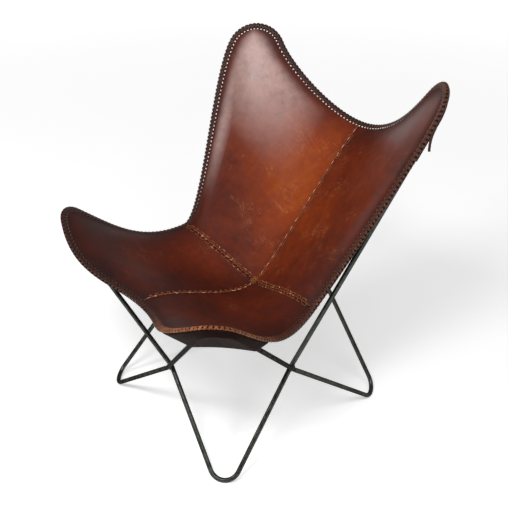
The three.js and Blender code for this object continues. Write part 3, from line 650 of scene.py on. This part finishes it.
def dressed(surface, seam):
    """A look at a hide: points of its middle with folds, normals, and distances to rim and seam in mm."""
    seam_length = length_of(seam)

    def look(s, t):
        """The surface plus, along its normal, a sine in s + t at the rim and waves away from the borders."""
        s, t = np.broadcast_arrays(s, t)
        points = surface(s, t)
        over_s = surface(np.minimum(s + probe, 1), t) - surface(np.maximum(s - probe, 0), t)
        over_t = surface(s, np.minimum(t + probe, 1)) - surface(s, np.maximum(t - probe, 0))
        normals = unit(np.cross(over_s, over_t))
        normals *= np.where(normals[..., 2:] < 0, -1.0, 1.0)
        from_seam = np.minimum(s * seam_length, t * length_of(seam_side))
        from_rim = np.minimum((1 - s) * hide_width, (1 - t) * hide_length)
        pucker = np.sin(2 * np.pi * (s + t) * rim_length / pitch) * hump(from_rim, pucker_place, pucker_width)
        sway = slow_waves(points) * (1 - np.exp(-from_seam / seam_fade)) * (1 - np.exp(-from_rim / rim_fade))
        fold = pucker_height * pucker + wave_height * sway
        return points + fold[..., None] * normals, normals, from_rim, from_seam

    return look


front_look, rear_look = dressed(front_surface, seam_front), dressed(rear_surface, seam_back)
print("waves are", (2 * np.pi / np.linalg.norm(wave_vectors, axis=1)).round()[[-1, 0]], "mm long")

# %% [markdown]
# ## From a surface to a hide
# Leather has two faces and a cut rim, and it rolls to a small lip where a seam pulls it in. A thickness
# modifier can't make the lip, so both faces are built. Polish and a painted highlight are worked out on the
# same grid.

# %% Shell of a hide
cells, first_share = 110, 0.0005
lip_height, groove_depth, laced_band, band_fade = 0.7, 0.9, 13, 14
rim_dark, rim_dark_reach, seam_dark, seam_dark_reach = 0.34, 26, 0.10, 12


def hide_shell(look):
    """Upper and lower grids, and s, t, distances, polish and a painted highlight, which rise along s and t as
    ramps.
    """
    steps = np.linspace(first_share, 1, cells + 1)
    s, t = np.meshgrid(steps, steps, indexing="ij")
    middle, normals, from_rim, from_seam = look(s, t)
    lip = lip_height * hump(from_seam, 5, 3) - groove_depth * hump(from_seam, 0, 1.8)
    upper, lower = middle + (hide / 2 + lip)[..., None] * normals, middle - hide / 2 * normals
    inside = 1 - hump(np.maximum(from_rim, laced_band), laced_band, band_fade)
    high = ramp_up(t, 0.45, 0.3) + ramp_up(s, 0.75, 0.15)
    polish = np.minimum(high * ramp_up(s, 0.1, 0.35), 1) * inside
    # Painted highlight: a pale patch at the top of the wing and a strip along its side edge.
    corner = ramp_up(t, 0.5, 0.38) * ramp_up(s, 0.2, 0.45)
    outer = ramp_up(s, 0.8, 0.12) * ramp_up(t, 0.15, 0.25)
    return upper, lower, (s, t, from_rim, from_seam), polish, np.maximum(corner, 0.8 * outer) * inside


def closed_shell(upper, lower):
    """Both grids and the wall that joins their rims, as points and faces."""
    rows, columns = upper.shape[:2]
    points = np.concatenate([upper.reshape(-1, 3), lower.reshape(-1, 3)])
    top = grid_faces(rows, columns)
    bottom = top[:, ::-1] + rows * columns
    index = np.arange(rows * columns).reshape(rows, columns)
    rim = np.concatenate([index[0, :-1], index[:-1, -1], index[-1, :0:-1], index[:0:-1, 0]])
    onward = np.roll(rim, -1)
    wall = np.stack([rim, onward, onward + rows * columns, rim + rows * columns], -1)
    return points, np.concatenate([top, bottom, wall])


def tone_of(s, t, from_rim, from_seam, base, extra, bell_s, bell_t):
    """Base dye, plus a bell over s and t, less a darkening that fades from rim and seam."""
    shade = -rim_dark * np.exp(-from_rim / rim_dark_reach) - seam_dark * np.exp(-from_seam / seam_dark_reach)
    return base + extra * hump(s, *bell_s) * hump(t, *bell_t) + shade


print("a hide gets", 2 * (cells + 1)**2, "points")

# %% [markdown]
# ## The four hides
# No two hides take the dye alike. The back on the sitter's right is the lightest and glossiest, and a painted
# highlight pales it further; the seat is the darkest. So each hide has its own line of numbers. The right
# ones are mirror images of the left.

# %% Make the hides
mirror = np.array([-1.0, 1, 1])
hide_dyes_and_sheen = {  # base tone, extra, its bells over s and t as (place, width), shares of polish and of the painted highlight
    "rear_right": (0.40, 0.47, (0.05, 0.6), (0.6, 0.42), 1.0, 0.9),
    "rear_left": (0.34, 0.28, (0.1, 0.8), (0.45, 0.5), 0.6, 0.1),
    "front_right": (0.21, 0.22, (0.45, 0.45), (0.0, 0.45), 0.4, 0.0),
    "front_left": (0.26, 0.14, (0.5, 0.4), (0.1, 0.4), 0.3, 0.0),
}
underside_tone = 0.3
for place, (*dye, polish_share, bloom_share) in hide_dyes_and_sheen.items():
    front, right = place.startswith("front"), place.endswith("right")
    upper, lower, where, polish, painted_highlight = hide_shell(front_look if front else rear_look)
    tone, turned = tone_of(*where, *dye).ravel(), mirror if right else np.ones(3)
    points, faces = closed_shell(upper * turned, lower * turned)
    make_piece(
        f"hide_{place}", points, faces, chestnut, [f"sling_panel_{place}"], "sling_leather",
        flip=front == right, merge=False,
        tone=np.concatenate([tone, underside_tone * tone]),
        polish=np.concatenate([polish.ravel() * polish_share, np.zeros(polish.size)]),
        # The painted highlight goes on the upper face only.
        bloom=np.concatenate([painted_highlight.ravel() * bloom_share, np.zeros(painted_highlight.size)]),
    )

# %% [markdown]
# ## The rim of the sling
# Pockets and lacing follow the rim. At each place of it they need to know which way runs along the edge,
# into the hide and up, and a point a little inside the edge tells that.

# %% Headings round the rim
def dot(a, b):
    """Dot product along the last axis, kept as a column."""
    return np.sum(a * b, axis=-1, keepdims=True)


def rim_of(surface, edge_side, edge_end, count=500, inset=0.045):
    """Points round the tip, and headings: along by differences, upward and inward by cross products."""
    share, back = np.linspace(0, 1, count), np.linspace(0, 1, count)[:-1][::-1]
    points = np.concatenate([at(edge_side, share), at(edge_end, back)])
    inner = np.concatenate([
        surface(np.full(count, 1 - inset), np.minimum(share, 1 - inset)),
        surface(np.minimum(back, 1 - inset), np.full(count - 1, 1 - inset)),
    ])
    tangent = unit(np.gradient(points, axis=0))
    upward = unit(np.cross(tangent, inner - points))
    upward *= np.where(upward[:, 2:] < 0, -1.0, 1.0)
    inward = np.cross(upward, tangent)
    inward *= np.sign(dot(inward, inner - points))
    return {"points": points, "tangent": tangent, "upward": upward, "inward": inward}


rims = {"front": rim_of(front_surface, edge_side_front, edge_front)}
rims["rear"] = rim_of(rear_surface, edge_side_rear, edge_back)


def rim_at(place):
    """The rim of a hide by its name; the right ones are mirrored."""
    end, side = place.split("_")
    return {key: value * (mirror if side == "right" else 1) for key, value in rims[end].items()}


print("rims, mm:", {end: round(length_of(rim["points"])) for end, rim in rims.items()})

# %% [markdown]
# ## Pockets
# Under each tip a second hide makes a pocket that slips over the horn. It hangs from the rim straight to
# the rod, goes round it, and crosses below the gap between the legs with a little sag. Shrinking a sheet
# onto the rod would pinch it at the bend, so the touching place is worked out for each section.

# %% Size of the pockets
pocket_skin = 2.4
pocket_radius = rod_radius + gap + pocket_skin / 2
rim_drop, wrong_side = 5.0, 1e4


def beside(rim, place, tangent, away):
    """The rim point most nearly square to the rod at each place, on the rod's outer side, and lowered."""
    offset = rim["points"][None] - place[:, None]
    ahead, aside = np.einsum("ijk,ik->ij", offset, tangent), np.einsum("ijk,ik->ij", offset, away)
    near = np.argmin(np.abs(ahead) + wrong_side * (aside < 0), axis=1)
    return rim["points"][near] - rim_drop * rim["upward"][near]


print("pockets lie", pocket_radius, "mm from the middle of the rod")

# %% Make the pockets
pocket_mouths = {"front": (85, 105), "rear": (90, 90)}
pocket_sag, flat_width = 3.5, 60
flank_rows, ring_rows, floor_rows = 6, 7, 9


def pocket_sheet(horn, rim, mouth_a, mouth_b, leg_steps=10, bend_steps=26):
    """Sections along the rod: rim, straight flank to the touching angle, arc round the rod, flat floor."""
    leg_a, leg_b = horn["legs"]
    bend = rounded(leg_a, horn["corner"], leg_b, horn["radius"], bend_steps)
    to_a, to_b = unit(leg_a - horn["corner"]), unit(leg_b - horn["corner"])
    down = np.linspace(1, 0, leg_steps, endpoint=False)[:, None]
    place = np.concatenate([bend[0] + to_a * mouth_a * down, bend, bend[-1] + to_b * mouth_b * down[::-1]])
    tangent = unit(np.gradient(place, axis=0))
    away = unit(np.cross(tangent, horn["face"]))
    away *= np.sign(dot(away, place - horn["centre"]))
    start = beside(rim, place, tangent, away)
    x, z = dot(start - place, away)[:, 0], dot(start - place, horn["face"])[:, 0]
    touch = np.arctan2(z, x) - np.arccos(np.minimum(pocket_radius / np.hypot(x, z), 1))
    turn = touch[:, None] + (-np.pi / 2 - touch[:, None]) * np.linspace(0, 1, ring_rows)[None]
    round_rod = np.cos(turn)[..., None] * away[:, None] + np.sin(turn)[..., None] * horn["face"]
    ring = place[:, None] + pocket_radius * round_rod
    fall = np.linspace(0, 1, flank_rows, endpoint=False)[None, :, None]
    flank = start[:, None] + (ring[:, :1] - start[:, None]) * fall
    low, partner = ring[:, -1], ring[::-1, -1]
    floor = low[:, None] + (partner - low)[:, None] * np.linspace(0, 0.5, floor_rows)[None, 1:, None]
    sag = np.sin(np.linspace(0, np.pi / 2, floor_rows))[None, 1:, None] * horn["face"] * pocket_sag
    width = np.linalg.norm(partner - low, axis=1)[:, None, None]
    return np.concatenate([flank, ring, floor + sag * np.minimum(width / flat_width, 1)], axis=1)


for place, horn in horns.items():
    mouths = pocket_mouths[place.split("_")[0]]
    starts_at_side = abs(horn["legs"][0][0]) > abs(horn["legs"][1][0])
    sheet = pocket_sheet(horn, rim_at(place), *(mouths[::-1] if starts_at_side else mouths))
    piece = make_piece(
        f"pocket_{place}", sheet, grid_faces(*sheet.shape[:2]), pocket_hide, [f"horn_pocket_{place}"],
        "pocket_leather", wear=0, rub=0,
    )
    thick = piece.modifiers.new("hide_thickness", "SOLIDIFY")
    thick.thickness, thick.offset = pocket_skin * mm, 0

# %% [markdown]
# ## Many small straps at once
# The edge takes some hundreds of turns of thong. Copies by a modifier would all be the same, and a loop
# would be slow. One more axis on the array of points makes them all at once, each with its own headings.

# %% Straps, eggs and groups
strap_sides, egg_rows, egg_sides = 8, 7, 8


def straps(centre, frame_of, path, shift, width, thick):
    """At each centre an ellipse carried along path, (inwards, upwards) points shifted along the edge."""
    along, inward, upward = (heading[:, None, None] for heading in frame_of)
    path = np.asarray(path, float)
    heading = unit(np.gradient(path, axis=0))
    outer = np.stack([-heading[:, 1], heading[:, 0]], -1)
    angle = round_turn(strap_sides)
    x, y = width / 2 * np.cos(angle), thick / 2 * np.sin(angle)
    a, b = path[:, None, 0] + outer[:, None, 0] * y, path[:, None, 1] + outer[:, None, 1] * y
    c = np.broadcast_to(shift[:, None] + x[None], a.shape)
    return centre[:, None, None] + a[..., None] * inward + b[..., None] * upward + c[..., None] * along


def repeated(one, count, size):
    """One piece's faces for many pieces of that many points."""
    return (one[None] + (np.arange(count) * size)[:, None, None]).reshape(-1, 4)


def strap_faces(count, rows, sides):
    """Faces of many straps, round on their sides, each end closed by a fan of four-sided faces."""
    k = np.arange(1, sides - 2, 2)[:, None]
    near_cap = np.hstack([0 * k, k, k + 1, k + 2])
    far_cap = np.hstack([0 * k, k + 2, k + 1, k]) + (rows - 1) * sides
    one = np.concatenate([grid_faces(rows, sides, False, True), near_cap, far_cap])
    return repeated(one, count, rows * sides)


def eggs(centre, frame_of, half_lengths):
    """An egg at each centre: cosine along the edge, and a circle of growing and shrinking sine across."""
    along, inward, upward = (heading[:, None, None] for heading in frame_of)
    u, v = np.linspace(0, np.pi, egg_rows)[:, None, None], round_turn(egg_sides)[None, :, None]
    a, b, c = half_lengths
    return (centre[:, None, None] + a * np.cos(u) * along
            + b * np.sin(u) * np.cos(v) * inward + c * np.sin(u) * np.sin(v) * upward)


def joined(*groups):
    """Several groups of (points, faces) as one, each group's faces moved on past the points before."""
    starts = np.cumsum([0] + [len(points) for points, _ in groups[:-1]])
    faces = [faces + start for (_, faces), start in zip(groups, starts)]
    return np.concatenate([points for points, _ in groups]), np.concatenate(faces)


print("one egg has", egg_rows * egg_sides, "points")

# %% [markdown]
# ## The laced edge
# A thong goes round the edge over and under, slanting from hole to hole, and a second one crosses it. Where
# it leaves a hole it stands up in a hump, and the humps get painted glints, most on the high back. A ready
# rope texture knows nothing of that, so painted glints and rub are worked out from where on the chair each
# turn lies.

# %% Make the lacing
over_edge = [
    (11.5, 1.6), (9.5, 3.1), (4, 3.7), (-0.5, 3.4), (-2.9, 1.8),
    (-3.3, -0.5), (-1.8, -2.9), (3, -3.6), (9, -3.4),
]
crossing_height, least_rub, most_rub = 0.86, 0.35, 0.9
under_first = [(x, y * crossing_height) for x, y in over_edge]
slant = np.linspace(-0.5, 0.5, len(over_edge)) * pitch
turn_size, crossing_size = (6.6, 2.2), (6.0, 2.0)
hump_in, hump_up, hump_size = 12.2, 2.3, (2.3, 1.9, 1.5)


def painted_glints_back(centre):
    """Painted glints on the back's humps: a ramp up with height, times a ramp towards the sitter's right."""
    x, _, z = centre.T
    return np.maximum(ramp_up(z, 430, 120), 0.06) * np.maximum(ramp_up(-x, -200, 120), 0.05)


def painted_glints_front(centre):
    """Painted glints on the front humps: slight, a little more with height, and less on the left wing."""
    x, _, z = centre.T
    return (0.02 + 0.06 * ramp_up(z, 440, 90)) * np.where(x < 0, 1.0, 0.4)


def rubbed_edge(centre):
    """Rub: a little everywhere, and a bell round the left front lip."""
    x, y, _ = centre.T
    lip = hump(x, 265, 110) * ramp_up(-y, 150, 100)
    return np.minimum(0.04 + 0.85 * lip + 0.10 * ramp_up(x, 150, 100), most_rub)


def lacing(rim, painted_glints):
    """Turns of thong, crossing turns and humps at even pitch; painted glints on the humps, rub uneven by
    draws.
    """
    count = int(round(length_of(rim["points"]) / pitch))
    share = (np.arange(count) + 0.5) / count
    centre = at(rim["points"], share)
    frame_of = [unit(at(rim["points"], share, rim[key])) for key in ("tangent", "inward", "upward")]
    turns = straps(centre, frame_of, over_edge, slant, *turn_size)
    crossing_turns = straps(centre, frame_of, under_first, -slant, *crossing_size)
    humps = eggs(centre + hump_in * frame_of[1] + hump_up * frame_of[2], frame_of, hump_size)
    each = [group[0].size // 3 for group in (turns, crossing_turns, humps)]
    egg_faces = repeated(grid_faces(egg_rows, egg_sides, False, True), count, each[2])
    points, faces = joined(
        *((group.reshape(-1, 3), strap_faces(count, *group.shape[1:3])) for group in (turns, crossing_turns)),
        (humps.reshape(-1, 3), egg_faces),
    )
    # Painted glints go on the humps only.
    wear = np.concatenate([np.zeros(count * (each[0] + each[1])), np.repeat(painted_glints(centre), each[2])])
    spread = rubbed_edge(centre)[:, None] * rng.uniform(least_rub, 1.0, (count, 3))
    return points, faces, wear, np.concatenate([np.repeat(spread[:, k], each[k]) for k in range(3)])


for place in hide_dyes_and_sheen:
    points, faces, wear, rub = lacing(rim_at(place), painted_glints_back if place.startswith("rear") else painted_glints_front)
    make_piece(f"laced_edge_{place}", points, faces, lacing_hide, [f"edge_lacing_{place}"], "lacing_leather",
               wear=wear, rub=rub)

# %% [markdown]
# ## Stitches on the hide
# Thong joins the hides: long staples along the back, a chain with staples over the seat, and slanting
# stitches at the sides. All lie on folded leather, so they are laid out flat, as distances along and beside
# the seam, and a helper finds the spots on the hide.

# %% Spots beside a seam
thong_sides, rate_probe = 6, 0.02


def thongs(paths, ups, width, thick):
    """Thongs along many paths: an ellipse, cosine to the side and sine up, away from the hide."""
    tangent = unit(np.gradient(paths, axis=1))
    side, up = unit(np.cross(ups, tangent))[:, :, None], ups[:, :, None]
    angle = round_turn(thong_sides)[None, None, :, None]
    points = paths[:, :, None] + width / 2 * np.cos(angle) * side + thick / 2 * np.sin(angle) * up
    return points.reshape(-1, 3), strap_faces(len(paths), paths.shape[1], thong_sides)


def beside_seam(look, seam, along_t):
    """Spots on a hide: distance along the seam over its length, distance beside it over the rate there."""
    total = length_of(seam)

    def spot(along, aside):
        """Point and upward heading; the rate is how far the hide goes for a small step off the seam."""
        share = np.clip(along / total, 0, 1)
        pair = (lambda w: look(w, share)) if along_t else (lambda w: look(share, w))
        off_seam = pair(np.full_like(share, rate_probe))[0] - pair(np.zeros_like(share))[0]
        rate = np.linalg.norm(off_seam, axis=-1) / rate_probe
        return pair(np.clip(aside / rate, first_share, 1))[:2]

    return spot


def flipped(spot):
    """The same spots on the other half of the chair."""
    return lambda along, aside: tuple(v * mirror for v in spot(along, aside))


back_spot = beside_seam(rear_look, seam_back, True)
front_spot = beside_seam(front_look, seam_front, True)
side_spots = beside_seam(rear_look, seam_side, False), beside_seam(front_look, seam_side, False)
print("100 mm up the back seam, 5 mm beside it:", back_spot(np.array([100.0]), 5.0)[0].round(1))


# %% Kinds of stitches
def staples(spot, first, last, period, reach, inner, outer):
    """Stitches that go out from the seam, along it for reach and back in, each a little off by draws."""
    starts = np.arange(first, last - reach, period)
    starts = starts + rng.uniform(-0.05, 0.05, len(starts)) * period
    along = np.array([0, 0, 0, 0.06, 0.2, 0.4, 0.6, 0.8, 0.94, 1, 1, 1]) * reach
    along = along * rng.uniform(0.88, 1.06, (len(starts), 1))
    out = np.array([0, 0.4, 0.8, 1, 1, 1, 1, 1, 1, 0.8, 0.4, 0])
    height = hide / 2 + np.array([-0.6, 0.9, 1.2, 1.3, 1.2, 1.2, 1.2, 1.2, 1.3, 1.2, 0.9, -0.6])
    out = inner + out * (outer - inner) * rng.uniform(0.85, 1.1, (len(starts), 1))
    points, ups = spot(starts[:, None] + along, out)
    return points + ups * height[None, :, None], ups


def ladder(spot_a, spot_b, first, last, period, half, lean):
    """Slanting stitches from hide to hide: width falls and rises again, height drops by a sixth power."""
    starts = np.arange(first, last, period)
    over = np.linspace(-1, 1, 9)
    along = starts[:, None] + lean * over[None]
    width = np.broadcast_to(np.abs(over) * half, along.shape)
    (points_a, ups_a), (points_b, ups_b) = spot_a(along, width), spot_b(along, width)
    on_a = (over < 0)[None, :, None]
    points, ups = np.where(on_a, points_a, points_b), np.where(on_a, ups_a, ups_b)
    rise = hide / 2 + 1.3 - 2.0 * np.abs(over)**6
    return points + ups * rise[None, :, None], ups


def lip_line(spot, last, lift, aside, first=14, sway=0.35, sway_length=3.1):
    """One long thong along the seam, its distance from it swaying by a sine."""
    along = np.linspace(first, last - first, 240)[None]
    points, ups = spot(along, aside + sway * np.sin(along / sway_length))
    return points + ups * (hide / 2 + lift), ups


print("kinds of stitches: staples, ladder and lip line")

# %% [markdown]
# ## Seams
# Each seam is a long thong and rows of stitches, with pitch and reach as on the real one. It gets painted
# glints of bright copper where three slow waves in its own points are all high.

# %% Make the seams
# Lengths of the three waves that place painted glints, and the strongest glint.
wear_lengths, brightest_glint = np.array([2.3, 3.1, 2.7]), 0.65


def put_seam(name, node, *groups):
    """Groups of (stitches, (width, thickness)) as one piece; painted glints are a ramp over the sum of three
    sines.
    """
    points, faces = joined(*(thongs(*path, *size) for path, size in groups))
    waves = np.sin(points / wear_lengths).sum(axis=1)
    # Painted glints where the three sines add up high.
    painted_glints = brightest_glint * ramp_up(waves, 1.0, 0.8)
    make_piece(name, points, faces, seam_thong, [node], "seam_leather", wear=painted_glints, rub=0)


back_end, front_end, side_end = (length_of(c) for c in (seam_back, seam_front, seam_side))
put_seam(
    "seam_thong_back", "seam_lace_back",
    (lip_line(back_spot, back_end, 0.3, 2.2), (2.6, 2.2)),
    (staples(back_spot, 20, back_end - 20, period=46, reach=27, inner=4.5, outer=10.5), (2.1, 1.8)),
    (staples(flipped(back_spot), 43, back_end - 20, period=46, reach=4, inner=1.0, outer=3.5), (2.2, 1.6)),
)
put_seam(
    "seam_thong_front", "seam_lace_front",
    (lip_line(front_spot, front_end, -0.5, 0.6), (1.8, 1.8)),
    (staples(front_spot, 18, front_end - 20, period=17, reach=10, inner=1.0, outer=5.5), (2.2, 1.8)),
    (staples(flipped(front_spot), 26, front_end - 20, period=17, reach=6, inner=1.0, outer=4.5), (2.0, 1.6)),
)
for side in ("left", "right"):
    rear_spot, fore_spot = (flipped(spot) if side == "right" else spot for spot in side_spots)
    put_seam(
        f"seam_thong_{side}", f"seam_lace_{side}",
        (lip_line(rear_spot, side_end, 0.1, 1.4), (1.8, 1.8)),
        (ladder(rear_spot, fore_spot, 18, side_end - 16, period=15, half=4.0, lean=3.0), (2.0, 1.6)),
        (staples(rear_spot, 20, side_end - 20, period=20, reach=12, inner=4.6, outer=8.6), (2.0, 1.9)),
        (staples(fore_spot, 28, side_end - 20, period=20, reach=12, inner=4.2, outer=7.4), (1.9, 1.7)),
    )

# %% [markdown]
# ## The knot in the seat
# All seams meet in a rosette of thong. A carved button would look cast. Ten short thongs that run outwards,
# turn a little, and rise and fall on the way cross each other as a real knot does.

# %% Make the rosette
petals, petal_points, petal_size, petal_rise = 10, 9, (3.2, 2.0), 2.0
level, run = across, seat_run
up = np.cross(level, run)
reach = np.linspace(1.5, 13.5, petal_points)[None, :, None]
heights = hide / 2 + 0.8 + petal_rise * np.sin(np.linspace(0.15, np.pi - 0.05, petal_points))
angle = (round_turn(petals)[:, None] + np.linspace(-0.3, 0.3, petal_points)[None])[..., None]
petal_paths = (seat_centre + reach * (np.cos(angle) * level + np.sin(angle) * run)
               + heights[None, :, None] * up)
petal_thongs = thongs(petal_paths, np.broadcast_to(up, petal_paths.shape), *petal_size)
make_piece("rosette_knot", *petal_thongs, seam_thong, ["seat_rosette"], "seam_leather", wear=0, rub=0)

# %% [markdown]
# ## The loose end
# The lacing ends behind the left rear horn, and its cut end hangs away from the pocket. A straight strip
# would look stiff, so it leans back by the square of its length.

# %% Make the loose end
end_start, end_length, end_off, end_drop, end_lean, end_points = 8, 50, 3.3, 3, 14, 24
end_size = 6.0, 2.0
leg = unit(rear_horn["legs"][1] - rear_horn["corner"])
bend = rounded(rear_horn["legs"][0], rear_horn["corner"], rear_horn["legs"][1], rear_horn["radius"], 20)
share = np.linspace(0, 1, end_points)[:, None]
place = bend[-1] + leg * (end_start + end_length * share)
away = unit(np.cross(leg, rear_horn["face"]))
away *= np.sign((place[0] - rear_horn["centre"]) @ away)
leg_rows, away_rows = np.broadcast_to(leg, place.shape), np.broadcast_to(away, place.shape)
rear_up = rims["rear"]["upward"]
edge = beside(rims["rear"], place, leg_rows, away_rows) + rim_drop * rear_up[len(rear_up) // 3]
path = edge + away * end_off - rear_horn["face"] * (end_drop + end_lean * share**2)
end_thong = thongs(path[None], away_rows[None], *end_size)
make_piece("loose_thong_end", *end_thong, lacing_hide, ["lace_tail"], "lacing_leather", wear=0, rub=0)

# %% [markdown]
# ## Cut sizes of the hides
# Each hide was cut flat before it was sewn on all its borders. The longest borders give its flat size, and
# the cells of its middle surface add up to its area.

def flat_size(surface, seam, edge, other_seam, other_edge, steps=80):
    """Width, length and area of a hide in metres: longest borders, and the sum of its cells."""
    shares = np.linspace(0, 1, steps)
    grid = surface(shares[:, None], shares[None, :])
    du, dv = np.diff(grid, axis=0)[:, :-1], np.diff(grid, axis=1)[:-1]
    area = np.linalg.norm(np.cross(du, dv), axis=-1).sum() * mm**2
    width, length = max(length_of(seam), length_of(edge)), max(length_of(other_seam), length_of(other_edge))
    return round(width * mm, 3), round(length * mm, 3), round(area, 4)


flat_sizes = {
    "front": flat_size(front_surface, seam_side, edge_front, seam_front, edge_side_front),
    "rear": flat_size(rear_surface, seam_side, edge_back, seam_back, edge_side_rear),
}

# %% [markdown]
# ## A white floor
# The chair stands on white without an edge. A floor in plain light comes out grey, and one that shines
# lights the chair from below. So the extra white is added only for rays that look at it, and more far off.

# %% Floor
near_white, white_slope, far_white, floor_half = 0.42, 0.08, 0.42, 40


def seen_rays(tree, mirrored=None):
    """One for rays that look: the largest of camera, mirrored and glass, where mirrored can be given."""
    rays = add(tree, "LightPath").outputs
    mirrored = mirrored or (lambda glossy: glossy)
    seen = calculate(tree, "MAXIMUM", rays["Is Camera Ray"], mirrored(rays["Is Glossy Ray"]))
    return calculate(tree, "MAXIMUM", seen, rays["Is Transmission Ray"])


material, tree, shader, place = new_material("pale_floor")
reach = add(tree, "VectorMath", Vector=place)
reach.operation = "LENGTH"
far = calculate(tree, "MULTIPLY", reach.outputs["Value"], white_slope)
white = calculate(tree, "ADD", calculate(tree, "MINIMUM", far, far_white), near_white)
feed(tree, shader, Base_Color=between(tree, noise(tree, place, 3), 0.90, 0.92), Roughness=0.9,
     Emission_Color=(1, 1, 1), Emission_Strength=calculate(tree, "MULTIPLY", seen_rays(tree), white))
mesh = bpy.data.meshes.new("floor")
floor_corners = [(x * floor_half, y * floor_half, 0) for x, y in ((-1, -1), (1, -1), (1, 1), (-1, 1))]
mesh.from_pydata(floor_corners, [], [(0, 1, 2, 3)])
mesh.materials.append(material)
floor = in_scene("floor", mesh)
print("floor:", 2 * floor_half, "m wide")

# %% [markdown]
# ## Light in the studio
# The hides glow from soft light high in front of them. The room is dim in front, brighter behind, and white
# where one looks past the chair. A sun would cast hard shadows, so three soft lamps do the rest.

# %% Room and lamps
front_light, behind_light = 0.10, 0.34
lamps = {  # place, aim, size in metres, watts
    "window": ((0.72, -1.43, 2.50), (-0.27, 0.23, 0.77), 0.65, 33),
    "side_window": ((-0.60, -2.04, 2.04), (-0.29, 0.14, 0.66), 0.5, 20),
    "fill": ((1.6, -0.25, 2.2), (0, 0, 0.4), 1.2, 14),
}
world = bpy.data.worlds.new("studio")
world.use_nodes = True
tree = world.node_tree
heading = add(tree, "SeparateXYZ", Vector=add(tree, "TexCoord").outputs["Generated"]).outputs
behind = held(tree, calculate(tree, "MULTIPLY_ADD", heading["Y"], 0.8, 0.45))
room = calculate(tree, "MULTIPLY_ADD", behind, behind_light - front_light, front_light)
low = held(tree, calculate(tree, "MULTIPLY_ADD", heading["Z"], -6.7, 2.0))
white = seen_rays(tree, lambda glossy: calculate(tree, "MULTIPLY", glossy, low))
room = calculate(tree, "MULTIPLY", room, calculate(tree, "SUBTRACT", 1.0, white))
feed(tree, tree.nodes["Background"], Color=(1, 1, 1), Strength=calculate(tree, "ADD", room, white))
bpy.context.scene.world = world
for name, (place, aim, size, watts) in lamps.items():
    lamp = bpy.data.lights.new(name, "AREA")
    lamp.shape, lamp.size, lamp.energy = "SQUARE", size, watts
    turn = Vector(unit(np.subtract(aim, place))).to_track_quat("-Z", "Y").to_euler()
    in_scene(name, lamp, place, turn)
print("lamps:", list(lamps))

# %% [markdown]
# ## The camera
# The photographer stood about two metres away, on the sitter's left, and looked down. The lens follows from
# how many pixels one unit spans at unit distance, and small shifts stand for the cut of the picture.

# %% Camera
azimuth, elevation = np.radians(51.6), np.radians(31.35)
camera_distance, focal_pixels, picture, sensor_width = 2.0085, 780.9, 508, 36
principal_right, principal_down = -10.9, 6.8
target = (np.array([0, 0, 420.0]) - box_middle) * mm
back = np.array([np.sin(azimuth), -np.cos(azimuth), np.tan(elevation)]) * np.cos(elevation)
camera = bpy.data.cameras.new("camera")
camera.sensor_width = sensor_width
camera.lens = focal_pixels / picture * sensor_width
camera.shift_x, camera.shift_y = -principal_right / picture, principal_down / picture
turn = (np.pi / 2 - elevation, 0, azimuth)
bpy.context.scene.camera = in_scene("camera", camera, target + back * camera_distance, turn)
bpy.context.scene.view_settings.view_transform = "Standard"
print("lens:", round(camera.lens, 2), "mm")
